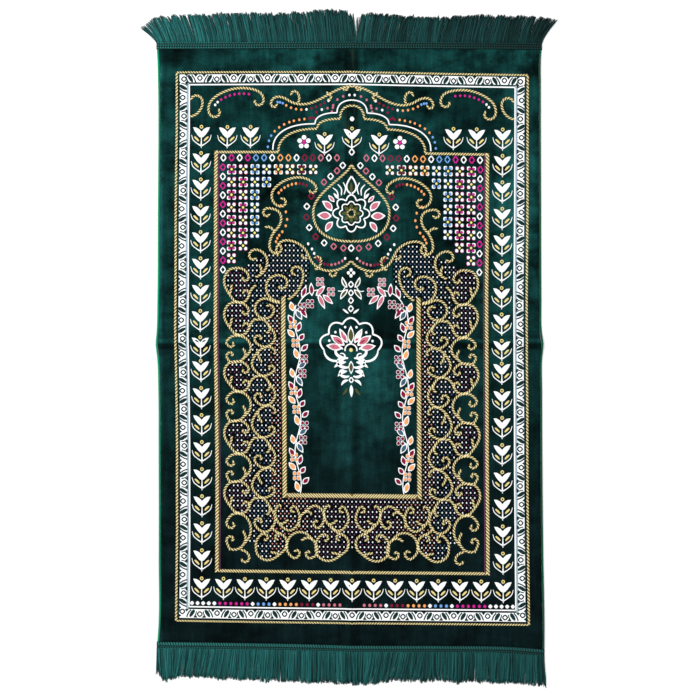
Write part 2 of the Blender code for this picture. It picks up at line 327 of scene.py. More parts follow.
RIM, OVER_RIM = -1.0, -2.0      # marks of rims: under the pile's face, or inside the yarn that it lies on
OVER_BASE, OVER_RISE = 0.92, 0.35  # rim of a yarn laid over another, and its top's height over the usual one
SHOULDER = 0.7                  # cells over which a yarn comes up from its rim
STITCH_PITCH = 3.0              # cells between two light stitches of a rope
DOWN_PITCH, ACROSS_PITCH = 3.4, 2.75    # the same, in ropes straight down or across the rug
STITCH_FILL = 0.28              # half a stitch's thickness, as a share of the pitch
STITCH_SLANT = 1.0              # run along the rope for each cell across it
# Widths along a leaf and its core, as shares of the widest
LEAF_WIDTHS, CORE_WIDTHS = (0.2, 0.8, 1.0, 0.92, 0.66, 0.12), (0.2, 0.85, 1.0, 0.75, 0.1)
BEAD_WIDE, DIAMOND_LINE = 2.9, 1.5      # width of a bead, and of an open diamond's line
LOBE_POWER = 0.85               # power on the cosine and sine of a lobe; one under 1 squares the oval
SCROLL_WIDE = 3.2               # width of the scrolls' ropes
CURL_SHARE = 0.4                # reach of a curl at its end, as a share of its reach at the start
ROPE_CLEAR = 2.2                # cells that lattice dots keep from a rope's middle


class Path:
    """A line through chart places, read by the distance along it and the distance to its left."""

    def __init__(self, places, closed=False, straight=False):
        """Cubic Hermite spans with chord-length knots, or straight ones, sampled every half cell."""
        places = np.asarray(places, float)
        if closed:
            places = np.concatenate([places[-2:], places, places[:2]])
        knots = np.concatenate([[0.0], np.cumsum(np.hypot(*np.diff(places, axis=0).T))])
        ends = (knots[2], knots[-2]) if closed else (knots[0], knots[-1])
        at = np.linspace(*ends, max(3, int((ends[1] - ends[0]) / 0.5) + 1))
        read = np.interp if straight else lambda t, k, v: smooth_line(k, v, t)
        self.line = np.stack([read(at, knots, places[:, 0]), read(at, knots, places[:, 1])], axis=1)
        steps = np.gradient(self.line, axis=0)
        if closed:
            steps[0] = steps[-1] = steps[0] + steps[-1]
        self.left = np.stack([-steps[:, 1], steps[:, 0]], axis=1) / np.hypot(*steps.T)[:, None]
        self.at = np.concatenate([[0.0], np.cumsum(np.hypot(*np.diff(self.line, axis=0).T))])
        self.length = self.at[-1]
        self.closed = closed

    def place(self, along, aside):
        """Chart places at distances along the line and to its left."""
        middle = [np.interp(along, self.at, self.line[:, k]) for k in (0, 1)]
        left = [np.interp(along, self.at, self.left[:, k]) for k in (0, 1)]
        return np.stack([middle[0] + aside * left[0], middle[1] + aside * left[1]], axis=-1)


def with_height(places, height):
    """Chart places with a height added."""
    heights = np.broadcast_to(np.asarray(height, float), places.shape[:-1])
    return np.concatenate([places, heights[..., None]], axis=-1)


def pillow_faces(count):
    """Triangles of a pillow: rim to inner ring, inner ring to the top's middle, and rim to the
    bottom's middle."""
    i = np.arange(count)
    j = (i + 1) % count
    top, bottom = np.full(count, 2 * count), np.full(count, 2 * count + 1)
    sets = [(i, j, count + j), (i, count + j, count + i), (count + i, count + j, top), (j, i, bottom)]
    return np.concatenate([np.stack(s, axis=1) for s in sets])


def pillow(outline, middle=None, rise=1.0):
    """Closed low cushion: the outline as rim, and the outline drawn in by a shoulder near the top."""
    rim = np.asarray(outline, float)
    middle = rim.mean(axis=0) if middle is None else np.asarray(middle, float)
    reach = np.hypot(*(rim - middle).T)[:, None]
    inner = middle + (rim - middle) * (1 - np.minimum(SHOULDER / reach, 0.42))
    points = np.concatenate([
        with_height(rim, RIM), with_height(inner, 0.9 * rise),
        with_height(middle[None], rise), with_height(middle[None], RIM)])
    return points, pillow_faces(len(rim))


def band(path, wide, widths=(1.0,), rise=1.0, step=1.1):
    """A flat band carried along a path: two rims and, a shoulder inside them, two top edges. Its width is
    scaled by `widths`, spread evenly over the length."""
    count = max(3, int(path.length / step) + 1)
    along = np.linspace(0.0, path.length, count)
    if path.closed:
        along = along[:-1]
    scale = np.interp(along / path.length, np.linspace(0.0, 1.0, len(widths)), widths)
    half = (wide / 2 * scale)[:, None]
    crown = half - np.minimum(SHOULDER, 0.5 * half)
    places = path.place(along[:, None], np.concatenate([-half, -crown, crown, half], axis=1))
    points = with_height(places, np.array([[RIM, rise, rise, RIM]])).reshape(-1, 3)
    sides = 4
    faces = triangles(grid_faces(len(along), sides, path.closed, True))
    if not path.closed:
        last = (len(along) - 1) * sides
        caps = np.array([(0, 1, 2), (0, 2, 3)])
        faces = np.concatenate([faces, caps, caps[:, ::-1] + last])
    return points, faces


def copies(shape, places, turn=0.0):
    """Copies of a shape at chart places, each turned by its angle."""
    points, faces = shape
    places = np.asarray(places, float)
    turn = np.broadcast_to(turn, len(places))[:, None]
    across = places[:, :1] + (np.cos(turn) * points[:, 0] - np.sin(turn) * points[:, 1])
    down = places[:, 1:2] + (np.sin(turn) * points[:, 0] + np.cos(turn) * points[:, 1])
    heights = np.broadcast_to(points[:, 2], across.shape)
    starts = np.arange(len(places))[:, None, None] * len(points)
    return np.stack([across, down, heights], axis=-1).reshape(-1, 3), (faces + starts).reshape(-1, 3)


def stitches(path, half, slant, fill, pitch, rise=1.0):
    """Slanted six-sided pillows along a path, one to each pitch, reaching `half` to each side of it."""
    count = max(2, round(path.length / pitch))
    pitch = path.length / count
    thick = pitch * fill
    outline = np.array([(-thick, -0.6), (-thick, 0.6), (0, 1.0), (thick, 0.6), (thick, -0.6), (0, -1.0)])
    outline[:, 1] *= half
    outline[:, 0] += slant * outline[:, 1]
    points, faces = pillow(outline, (0.0, 0.0), rise)
    per = len(points)
    at = (np.arange(count) + 0.5) * pitch
    along = at[:, None] + points[None, :, 0]
    if path.closed:
        along = along % path.length
    places = path.place(along, points[None, :, 1])
    points = with_height(places, points[:, 2][None, :]).reshape(-1, 3)
    return points, (faces + np.arange(count)[:, None, None] * per).reshape(-1, 3)


def oval(half_wide, half_tall, count=8, power=1.0):
    """Outline of an oval; a power over 1 draws it in to a diamond with curved sides, and one under 1
    squares it."""
    turn = np.arange(count) * 2 * math.pi / count
    c, s = np.cos(turn), np.sin(turn)
    across, down = half_wide * np.sign(c) * np.abs(c) ** power, half_tall * np.sign(s) * np.abs(s) ** power
    return np.stack([across, down], axis=1)


def wind(line, middle, turns):
    """The line wound on round a middle, the way it already heads: the angle grows evenly and the distance
    from the middle shrinks evenly to a share of itself."""
    arm, heading = line[-1] - middle, line[-1] - line[-2]
    way = math.copysign(1.0, arm[0] * heading[1] - arm[1] * heading[0])
    share = np.linspace(0.0, 1.0, max(4, int(turns * 9)) + 1)[1:]
    angle = math.atan2(arm[1], arm[0]) + way * share * turns * 2 * math.pi
    reach = math.hypot(*arm) * (1 - share * (1 - CURL_SHARE))
    return np.concatenate([line, middle + np.stack([np.cos(angle), np.sin(angle)], axis=1) * reach[:, None]])


def curled(places, end, move):
    """A line of places, wound on at its end round a middle, (across, row, turns), if there is one; `move`
    carries places from the coordinates that they are given in to the chart's."""
    line = move(np.asarray(places, float))
    if end:
        line = wind(line, move(np.array([end[:2]], float))[0], end[2])
    return line


def arcs(start, heading, *bends):
    """A line drawn with compasses from a place: its heading in degrees, 0 outwards and 90 down the rug, then
    for each arc its turn in degrees, its radius, and the radius that it comes to, if another."""
    line, angle = np.asarray([start], float), math.radians(heading)
    for turn, radius, *last in bends:
        turn = math.radians(turn)
        count = max(4, int(abs(turn) * 4))
        share = (np.arange(count) + 0.5) / count
        steps = (radius + ((last or [radius])[0] - radius) * share) * abs(turn) / count
        way = angle + turn * share
        run = np.cumsum(np.stack([steps * np.cos(way), steps * np.sin(way)], axis=1), axis=0)
        line, angle = np.concatenate([line, line[-1] + run]), angle + turn
    return line


def lobe(foot, crest):
    """Quarter of an oval, a little squared: upright at its foot and level at its crest."""
    turn = np.linspace(0.0, math.pi / 2, 9)
    return np.stack([crest[0] + (foot[0] - crest[0]) * np.abs(np.cos(turn)) ** LOBE_POWER,
                     foot[1] + (crest[1] - foot[1]) * np.sin(turn) ** LOBE_POWER], axis=1)


def measured(places):
    """Places measured on the left side of the swaying cloth, as even places: its sway is taken off, all of it
    from 60 cells outwards."""
    places = np.asarray(places, float).copy()
    places[:, 0] += sway(-places[:, 0], places[:, 1]) * np.clip(places[:, 0] / 60, 0.0, 1.0)
    return places


def columns(places):
    """Places given by chart column, on the left side, as cells from the centre line."""
    places = np.asarray(places, float).copy()
    places[:, 0] = CENTRE_COLUMN - places[:, 0]
    return measured(places)


def between(places, top, bottom):
    """Places whose rows run from 0 to 1, with the rows set between two chart rows."""
    places = np.asarray(places, float).copy()
    places[:, 1] = top + places[:, 1] * (bottom - top)
    return places


def inside(places, outline):
    """Whether each place lies in a closed outline: an odd count of edges to its right."""
    x, y = places[:, 0:1], places[:, 1:2]
    a, b = np.asarray(outline, float), np.roll(np.asarray(outline, float), -1, axis=0)
    spans = (a[:, 1] > y) != (b[:, 1] > y)
    fall = np.where(b[:, 1] == a[:, 1], 1e-9, b[:, 1] - a[:, 1])
    cross = a[:, 0] + (y - a[:, 1]) * (b[:, 0] - a[:, 0]) / fall
    return (spans & (x < cross)).sum(axis=1) % 2 == 1


class Chart:
    """The coloured yarns laid on the pile: for each colour, a list of shapes in chart cells."""

    def __init__(self):
        self.yarns = {}
        self.ropes = []

    def lay(self, yarn, shape, both=True, over=False):
        """Add a shape to a colour, and its mirror image on the other side of the centre line; `over` lifts it
        onto a yarn that is already there."""
        points, faces = shape
        if over:
            lifted = np.where(points[:, 2] < 0, OVER_RIM, points[:, 2] + OVER_RISE)
            points = np.concatenate([points[:, :2], lifted[:, None]], axis=1)
        kept = self.yarns.setdefault(yarn, [])
        kept.append((points, faces))
        if both:
            kept.append((points * (-1.0, 1.0, 1.0), faces))

    def stroke(self, yarn, places, wide, widths=(1.0,), closed=False, rise=1.0, both=True, straight=False,
               over=False):
        """A band of one colour along a line."""
        self.lay(yarn, band(Path(places, closed, straight), wide, widths, rise), both, over)

    def rope(self, places, wide, pitch=STITCH_PITCH, closed=False, both=True, straight=False):
        """A twisted rope: a shaded band with slanted light stitches on it."""
        path = Path(places, closed, straight)
        self.lay("gold_shade", band(path, wide * 0.96, rise=0.35, step=1.6), both)
        self.lay("gold_light", stitches(path, wide * 0.49, -STITCH_SLANT, STITCH_FILL, pitch), both)
        self.ropes.append(path.line)

    def run(self, a, b, wide, pitch):
        """A straight rope between two places."""
        self.rope(straight_run(a, b), wide, pitch, straight=True)

    def bar(self, yarn, a, b, wide, rise=1.0):
        """A straight band between two places."""
        self.stroke(yarn, straight_run(a, b), wide, rise=rise, straight=True)

    def unit(self, lines, move):
        """The ropes of a scroll unit, its places carried to the chart by `move`."""
        for places, curl in lines:
            self.rope(curled(places, curl, move), SCROLL_WIDE)

    def dots(self, yarn, places, wide, tall, both=True, count=8, power=1.0, over=False):
        """Small pillows at places."""
        if len(places):
            self.lay(yarn, copies(pillow(oval(wide / 2, tall / 2, count, power)), places), both, over)

    def beads(self, code, path, aside, tall=3.3):
        """Beads beside a path, evenly spaced, coloured by letters; a dot leaves one out."""
        letters = np.array(list(code))
        places = path.place((np.arange(len(code)) + 0.5) / len(code) * path.length, aside)
        for letter in sorted(set(code) - {"."}):
            self.dots(COLOURS[letter], places[letters == letter], BEAD_WIDE, tall)

    def diamonds(self, yarns, places, half_wide=3.3, half_tall=4.3, both=True):
        """Open diamonds, one at each place, in the colours given."""
        outline = oval(half_wide - DIAMOND_LINE / 2, half_tall - DIAMOND_LINE / 2, 16, 1.9)
        ring = band(Path(outline, closed=True), DIAMOND_LINE, step=1.0)
        for yarn, place in zip(yarns, places):
            self.lay(yarn, copies(ring, [place]), both)

    def leaf(self, outer, inner, tail, tip, wide, bend=0.0, rim=2.0, both=True, over=False):
        """A pointed leaf from tail to tip, bowed sideways by `bend`, with a core in a second colour."""
        tail, tip = np.asarray(tail, float), np.asarray(tip, float)
        run = tip - tail
        aside = np.array([-run[1], run[0]]) / np.hypot(*run)
        middle = (tail + tip) / 2 + aside * bend
        self.stroke(outer, [tail, middle, tip], wide, LEAF_WIDTHS, both=both, over=over)
        if inner:
            near, far = tail + run * 0.14 + aside * bend * 0.6, tail + run * 0.84 + aside * bend * 0.6
            self.stroke(inner, [near, middle, far], wide - rim, CORE_WIDTHS, both=both, over=True)


COLOURS = {"w": "white", "m": "magenta", "b": "blue", "o": "orange", "d": "dark_red", "p": "pink",
           "t": "teal"}


def colour_names(code):
    """Colour names for a row of letters."""
    return [COLOURS[letter] for letter in code]


# ---------------------------------------------------------------- border

BAND_OUT, BAND_IN, BAND_LINE = 172.3, 164.9, 162.7      # white side bands and their thin inner line
BAND_TOP, BAND_TOP_IN, TOP_LINE = 74.1, 82.5, 84.6
BAND_LOW_IN, BAND_LOW, LOW_LINE = 610.9, 620.3, 608.7
ROPE_SIDE, ROPE_TOP, ROPE_LOW = 175.2, 72.2, 623.0
CREASE_ROW = 345.0              # chart row hidden in the cross crease
RUN_GAP = 6.0                   # cells between two places of a straight run
# Dark figures: count and pitch from the centre outwards, count down each half of a side, and for each half
# the first one's row and their pitch
MOTIFS_ACROSS, MOTIF_PITCH, MOTIFS_DOWN = 11, 16.9, 15
MOTIF_RUNS = ((78.9, 18.62), (354.9, 18.47))


def straight_run(a, b):
    """Places every few cells on the straight line from a to b."""
    a, b = np.asarray(a, float), np.asarray(b, float)
    count = max(2, int(np.hypot(*(b - a)) / RUN_GAP) + 1)
    return a + (b - a) * np.linspace(0.0, 1.0, count)[:, None]


def border_motif(chart, places, turn, flip):
    """Dark figures on the white band at each place: a small diamond ring with two triangles on its outer
    side, and half a pitch on a filled leaf between two thin lines; both alternate from place to place."""
    ring = band(Path(oval(2.4, 2.5, 16, 1.6), closed=True), 1.5, step=0.8)
    triangle = pillow([(-2.2, 1.4), (0.0, -1.7), (2.2, 1.4)])
    leaf = band(Path([(-3.2, -3.5), (-1.1, -0.5), (1.2, 3.5)]), 3.9, (0.5, 1.0, 1.0, 0.9, 0.4))
    line = band(Path([(0.2, -3.7), (2.6, -0.6), (4.3, 3.7)]), 1.5)
    near_line = band(Path([(-5.2, -2.2), (-4.5, 0.8), (-2.8, 3.7)]), 1.2)
    sign = np.where(np.arange(len(places)) % 2 == 0, 1.0, -1.0) * flip
    rings = len(places) - (turn == 0.0)         # the corners' rings belong to the sides
    cos, sin = math.cos(turn), math.sin(turn)
    out = np.array([-sin, cos])
    run = np.array([cos, sin])
    chart.lay("ground", copies(ring, (places + out * (0.6 * sign)[:, None])[:rings], turn), over=True)
    for aside in (-4.1, 4.1):
        spots = places + run * aside + out * (2.9 * sign)[:, None]
        chart.lay("ground", copies(triangle, spots[sign > 0], turn), over=True)
        chart.lay("ground", copies(triangle, spots[sign < 0], turn + math.pi), over=True)
    halfway = (places[:-1] + places[1:]) / 2
    for shape in (leaf, line, near_line):
        points, faces = shape
        mirror = (points * (-1.0, 1.0, 1.0), faces)
        chart.lay("ground", copies(shape, halfway[sign[:-1] > 0], turn), over=True)
        chart.lay("ground", copies(mirror, halfway[sign[:-1] < 0], turn), over=True)


def draw_border(chart):
    """Outer rope, white band with its dark figures, and the thin line inside it."""
    corners = [(0.0, ROPE_TOP), (ROPE_SIDE, ROPE_TOP), (ROPE_SIDE, ROPE_LOW), (0.0, ROPE_LOW)]
    for a, b in zip(corners, corners[1:]):
        chart.run(a, b, *((3.1, DOWN_PITCH) if a[0] == b[0] else (2.6, ACROSS_PITCH)))
    for top, low in ((BAND_TOP, BAND_TOP_IN), (BAND_LOW_IN, BAND_LOW)):
        chart.bar("white", (0.0, (top + low) / 2), (BAND_OUT, (top + low) / 2), low - top)
    middle = (BAND_OUT + BAND_IN) / 2
    chart.bar("silver", (middle - 1.0, BAND_TOP_IN), (middle - 1.0, BAND_LOW_IN), 10.0, rise=0.6)
    chart.bar("white", (middle, BAND_TOP_IN - 0.5), (middle, BAND_LOW_IN + 0.5), BAND_OUT - BAND_IN)
    lines = [(0.0, TOP_LINE), (BAND_LINE, TOP_LINE), (BAND_LINE, LOW_LINE), (0.0, LOW_LINE)]
    for (a, b), wide in zip(zip(lines, lines[1:]), (1.7, 1.6, 1.7)):
        chart.bar("white", a, b, wide)
    across = np.arange(MOTIFS_ACROSS) * MOTIF_PITCH
    for row, flip in (((BAND_TOP + BAND_TOP_IN) / 2 + 0.3, 1.0), ((BAND_LOW_IN + BAND_LOW) / 2 - 0.3, -1.0)):
        border_motif(chart, np.stack([across, np.full(MOTIFS_ACROSS, row)], axis=1), 0.0, flip)
    rows = np.concatenate([first + pitch * np.arange(MOTIFS_DOWN) for first, pitch in MOTIF_RUNS])
    border_motif(chart, np.stack([np.full(len(rows), middle), rows], axis=1), math.pi / 2, 1.0)


TULIP_CUP = ((-8.6, 1.6), (-5.4, 1.8), (-2.4, 3.4), (0.0, 6.0), (2.4, 3.4), (5.4, 1.8), (8.6, 1.6),
             (7.0, 5.4), (4.6, 9.0), (2.2, 11.6), (0.0, 12.6), (-2.2, 11.6), (-4.6, 9.0), (-7.0, 5.4))
# Tulips down the sides, in runs of (first row, pitch, count), beside the arch, under it and along the foot
TULIP_SIDE, TULIP_RUNS = 150.5, ((125.6, 26.4, 9), (360.6, 27.14, 8))
TULIP_TOP, TULIP_ARCH, TULIP_TIP = [(124.6, 125.9), (101.4, 125.9)], [(27.3, 133.0)], (0.0, 127.6)
TULIP_LOW, TULIP_PITCH = 578.8, 21.5
LOW_DOTS = "wwwww" + "mmmmmm" + "w" + "bbb" + "w" + "oooo" + "ddd" + "w" + "pppp"
LOW_DOT_FIRST, LOW_DOT_ROW, LOW_DOT_PITCH = 159.8, 605.0, 5.47


def draw_tulips(chart):
    """Rows of tulips: gold knob, white cup, stem, two thin arms and two gold leaves."""
    side = [(TULIP_SIDE, first + pitch * k) for first, pitch, count in TULIP_RUNS for k in range(count)]
    low = [(TULIP_PITCH * k, TULIP_LOW) for k in range(1, 8)]
    pairs, singles = side + TULIP_TOP + low + TULIP_ARCH, [(0.0, TULIP_LOW), TULIP_TIP]
    for places, both in ((pairs, True), (singles, False)):
        places = np.array(places)
        chart.lay("white", copies(pillow(TULIP_CUP, (0.0, 8.2)), places), both)
        chart.lay("gold_leaf", copies(band(Path(oval(1.3, 1.45, 10), closed=True), 1.2, step=0.8),
                                      places + (0.0, 1.3)), both, over=True)
        chart.lay("white", copies(band(Path([(0.0, 11.6), (0.0, 17.0), (0.0, 22.6)]), 1.2,
                                       (1.0, 0.9, 1.6, 0.6)), places), both)
        for side_sign in (-1, 1):
            arm = [(0.0, 20.6), (4.4 * side_sign, 17.8), (8.2 * side_sign, 14.4), (9.8 * side_sign, 9.4)]
            leaf = [(7.0 * side_sign, 11.2), (4.8 * side_sign, 13.2), (2.6 * side_sign, 15.6)]
            chart.lay("white", copies(band(Path(arm), 1.1, (1.5, 1.0, 1.0, 0.6)), places), both)
            chart.lay("gold_leaf", copies(band(Path(leaf), 2.4, (0.6, 1.0, 1.0, 0.6)), places), both)


def draw_low_dots(chart):
    """Row of coloured dots above the lower white line."""
    for k, letter in enumerate(LOW_DOTS):
        place = [(LOW_DOT_FIRST - LOW_DOT_PITCH * k, LOW_DOT_ROW)]
        size = (4.6, 4.8) if letter == "w" else (3.6, 4.0)
        chart.dots(COLOURS[letter], place, *size, power=1.4 if letter == "w" else 1.0)


# ---------------------------------------------------------------- frame, arch and top scrolls

FRAME_SIDE, FRAME_TOP, FRAME_LOW, ARCH_FOOT = 135.6, 152.3, 572.2, 73.4

# Cusps of the arch's white line and of its rope, from foot to crest
ARCH_CUSPS = ((79.0, 150.0), (37.0, 124.0), (15.0, 113.0), (0.0, 100.5))
ARCH_ROPE_CUSPS = ((73.5, 152.5), (35.0, 129.0), (12.0, 119.0), (0.0, 106.0))
ARCH_BEADS = "bbbooooooo" + "ddddw" + "ppppppw"
# Middle row, rise and half length of the wave over the arch
WAVE_ROW, WAVE_TALL, WAVE_LONG = 95.5, 9.0, 50.0
ARCH_FLOWER, ARCH_DOT = (47.9, 142.3), (0.0, 119.3)
# Compass scrolls: start, heading, arcs
WAVE_END = ((50, 104.5), 0, (-35, 26), (35, 16), (90, 7), (200, 3.5, 2))
TOP_BOW = ((97, 100), 60, (210, 3, 5.5), (70, 10), (60, 44), (60, 14), (230, 7, 3))
TOP_HOOKS = (((161, 100), -95, (-85, 5), (-90, 6.5), (-80, 15)), ((54, 103), -120, (70, 9), (170, 4, 2)),
             ((26, 93), 180, (-100, 6, 3), (-120, 3, 2)), ((4, 87), 100, (-200, 3, 2)))


def draw_frame(chart):
    """Inner frame: wide ropes with a thin dark line down the sides, a rope along the top up to the arch, and
    one along the bottom."""
    top, low = FRAME_TOP - 1.5, FRAME_LOW + 1.5
    chart.run((FRAME_SIDE, top), (FRAME_SIDE, low), 4.6, DOWN_PITCH)
    chart.bar("plum", (FRAME_SIDE - 2.9, top), (FRAME_SIDE - 2.9, low), 1.3)
    chart.run((FRAME_SIDE, FRAME_TOP), (ARCH_FOOT, FRAME_TOP), 3.4, ACROSS_PITCH)
    chart.run((FRAME_SIDE, FRAME_LOW), (0.0, FRAME_LOW), 3.9, ACROSS_PITCH)


def draw_arch(chart):
    """Cusped arch over the frame: rope, white line and beads, each lobe a quarter oval; over it a cosine
    wave, compass scrolls and beads beside them."""
    line = np.concatenate([lobe(a, b) for a, b in zip(ARCH_CUSPS, ARCH_CUSPS[1:])])
    for a, b in zip(ARCH_CUSPS, ARCH_CUSPS[1:]):
        chart.stroke("white", lobe(a, b), 1.6)
    for a, b in zip(ARCH_ROPE_CUSPS, ARCH_ROPE_CUSPS[1:]):
        chart.rope(lobe(a, b), 3.0)
    chart.beads(ARCH_BEADS, Path(line, straight=True), 5.2)
    across = np.linspace(WAVE_LONG, 0.0, 19)
    wave = np.stack([across, WAVE_ROW - WAVE_TALL * np.cos(math.pi * across / WAVE_LONG)], axis=1)
    wave = np.concatenate([arcs(*WAVE_END)[:0:-1], wave])
    chart.rope(wave, SCROLL_WIDE)
    chart.beads("...." + "bbb" + "oooo" + "w" + "dddd" + "w" + "......", Path(wave), -5.4)
    bow = arcs(*TOP_BOW)
    chart.rope(bow, SCROLL_WIDE)
    chart.beads("......" + "mmmmmmmww" + ".....", Path(bow), 5.6)
    for hook in TOP_HOOKS:
        chart.rope(arcs(*hook), SCROLL_WIDE)
    chart.dots("white", [ARCH_DOT], 5.2, 5.6, both=False, power=1.2)
    turn = np.arange(5) * 2 * math.pi / 5
    petals = np.stack([ARCH_FLOWER[0] + 4.5 * np.sin(turn), ARCH_FLOWER[1] - 4.7 * np.cos(turn)], axis=1)
    chart.lay("white", copies(pillow(oval(2.7, 2.7)), petals))
    chart.dots("magenta", [ARCH_FLOWER], 4.0, 4.4, over=True)
    chart.dots("dark_red", [ARCH_FLOWER], 1.8, 2.0, over=True)


# ---------------------------------------------------------------- diamonds and small flowers

# Runs of open diamonds: colours, first place, and step from one to the next
DIAMOND_RUNS = (("wmwmbbwoowddpwp", (128.6, 158.0), (-8.13, 0.0)), ("mw" * 6, (129.2, 167.5), (0.0, 9.33)))
CORNERS = np.array([(-1, -1), (-1, 1), (1, -1), (1, 1)])    # ways from a flower's middle to its petals
FLOWER_COUNTS = (8, 4, 3, 3, 3, 3, 2, 1)        # flowers in each row
FLOWER_YARNS = ("magenta", "magenta", "blue", "blue", "orange", "orange", "dark_red", "dark_red")
FLOWER_FIRST, FLOWER_PITCH = (119.8, 169.6), (11.65, 12.74)


def draw_flowers(chart):
    """Rows of open diamonds, and four-petalled flowers set corner-wise under them: coloured ones with white
    rims and white ones with coloured rims by turns, each with a dark ring round a yellow dot."""
    for code, first, step in DIAMOND_RUNS:
        places = np.array(first) + np.arange(len(code))[:, None] * step
        chart.diamonds(colour_names(code), measured(places))
    full, core, pale = oval(2.1, 2.25, 10, 0.65), oval(1.5, 1.6, 8, 0.8), oval(1.6, 1.75, 10, 0.65)
    dark_ring = band(Path(oval(2.0, 2.3, 10), closed=True), 1.0, step=0.8)
    for down, count in enumerate(FLOWER_COUNTS):
        for along, tint in enumerate(FLOWER_YARNS[:count]):
            middle = np.array(FLOWER_FIRST) + np.array(FLOWER_PITCH) * (-along, down)
            if (along + down) % 2 == 0:
                chart.lay("white", copies(pillow(full), CORNERS * (2.7, 3.1) + middle))
                chart.lay(tint, copies(pillow(core), CORNERS * (2.15, 2.7) + middle), over=True)
            else:
                chart.lay(tint, copies(pillow(full), CORNERS * (2.7, 3.1) + middle))
                chart.lay("white", copies(pillow(pale), CORNERS * (2.6, 2.95) + middle), over=True)
            chart.lay("ground", copies(dark_ring, [middle]), over=True)
            chart.dots("yellow", [middle], 2.6, 3.0, over=True)


# ---------------------------------------------------------------- medallion

MEDALLION_TIP, MEDALLION_MIDDLE, MEDALLION_LOW, MEDALLION_WIDE = 165.0, 212.0, 241.5, 38.0
MEDALLION_DIAMONDS = ((248.3, 3.6, 4.2), (152.4, 3.4, 4.0))     # under and over it: row and half sizes
ROSE = np.array((0.0, 213.5))
ROSE_CROWN, ROSE_BUD = ((0, 176.5), (3.0, 181), (4.8, 186), (4.0, 190.5), (0.6, 194)), ((0, 193), (0, 182.5))
# Fan strokes over the rosette, and leaves round it: (core's yarn, tail, tip, width, bend)
ROSE_FANS = (((7.2, 194.5), (5.8, 188), (8.2, 182.5)), ((10.0, 195.5), (10.0, 189), (13.6, 184.5)),
             ((13.0, 197), (14.4, 191.5), (18.6, 188.0)))
ROSE_LEAVES = (
    ("pink", (17.0, 202), (23, 195.5), 4.6, 0.0), ("pink", (19.4, 211.0), (29.0, 201.4), 7.6, -1.2),
    ("pink", (19.8, 216.2), (34.0, 215.4), 8.6, 0.0), ("pink", (18.6, 222.0), (25.4, 232.0), 6.8, -0.8),
    (None, (12.6, 199), (17.8, 193.4), 3.2, 0.0),
)


def petalled(centre, radius, depth, lobes, count=96):
    """Closed wavy outline: radius plus depth times the size of the cosine of half the lobes' angle."""
    turn = np.linspace(0.0, 2 * math.pi, count, endpoint=False)
    reach = radius + depth * np.abs(np.cos(lobes * turn / 2))
    return np.stack([centre[0] + reach * np.sin(turn), centre[1] - reach * np.cos(turn)], axis=1)


def medallion_edge():
    """Half of the pointed medallion, from its tip: above the widest row its reach is the cosine of a quarter
    turn to the power 1.35, and below it a quarter oval."""
    share = np.linspace(1.0, 0.0, 12)[:-1]
    upper = np.stack([MEDALLION_WIDE * np.cos(share * math.pi / 2) ** 1.35,
                      MEDALLION_MIDDLE - share * (MEDALLION_MIDDLE - MEDALLION_TIP)], axis=1)
    return np.concatenate([upper, lobe((MEDALLION_WIDE, MEDALLION_MIDDLE), (0.0, MEDALLION_LOW))])


def draw_medallion(chart):
    """Pointed medallion: rope, ring of open diamonds, and a plain rosette with leaves round it."""
    edge = medallion_edge()
    chart.rope(edge, SCROLL_WIDE)
    path = Path(edge)
    code = "wpwp.dwdwdwpp"
    places = path.place((np.arange(len(code)) + 0.75) / (len(code) + 0.6) * path.length, -7.0)
    kept = [k for k, letter in enumerate(code) if letter != "."]
    chart.diamonds([COLOURS[code[k]] for k in kept], places[kept], 3.5, 4.0)
    for row, half_wide, half_tall in MEDALLION_DIAMONDS:
        chart.diamonds(["white"], [(0.0, row)], half_wide, half_tall, both=False)
    # Rosette: olive star under a gold ring, and two wavy white outlines with dark pile between them
    for angle in np.arange(8) * math.pi / 4:
        run = np.array([math.sin(angle), -math.cos(angle)])
        chart.leaf("olive", None, ROSE + 3.4 * run, ROSE + 9.6 * run, 4.4, both=False)
    chart.rope(petalled(ROSE, 3.6, 0.6, 8, 48), 2.8, 2.4, closed=True, both=False)
    chart.stroke("white", petalled(ROSE, 9.2, 2.6, 8), 1.5, closed=True, both=False)
    chart.stroke("white", petalled(ROSE, 13.4, 5.0, 8), 1.7, closed=True, both=False)
    # Crown leaf, fans and side leaves
    chart.stroke("white", ROSE_CROWN, 1.9)
    chart.leaf("olive", None, *ROSE_BUD, 3.4, both=False)
    for fan_stroke in ROSE_FANS:
        chart.stroke("white", fan_stroke, 1.5, (0.8, 1.0, 1.0, 0.7))
    for core, tail, tip, wide, bend in ROSE_LEAVES:
        chart.leaf("white", core, tail, tip, wide, bend)


# ---------------------------------------------------------------- scrolls

# Compass scrolls between the medallion and the lattice: start, heading, arcs
SHOULDER_SCROLL = ((42, 190), 90, (90, 3), (90, 4), (40, 6), (50, 21), (50, 32), (40, 11), (90, 12, 8),
                   (220, 5, 2.5))
WAIST_SCROLL = ((82, 214), 90, (-90, 2.5), (-90, 3.5), (-90, 4.5), (-20, 22), (-70, 9), (-45, 16), (45, 24),
                (90, 7), (190, 5.5, 3))
NICHE_SCROLL = ((0, 261), 50, (-50, 28), (-70, 22), (70, 24), (90, 10), (40, 9))
UPPER_HOOKS = (
    ((86, 228), 220, (-60, 4), (-50, 9)), ((36, 270), 200, (80, 9), (150, 4, 2.5)),
    ((15, 272), 100, (-230, 4, 2)), ((44, 258), 30, (-150, 4, 2.5)),
    ((63, 300), -150, (60, 30), (90, 7), (90, 4.5), (110, 4, 2.5)),
    ((95.5, 258), 80, (-80, 2.5), (-90, 4), (-90, 6), (-90, 12), (-75, 16)), ((92, 265), 130, (-60, 9)),
)
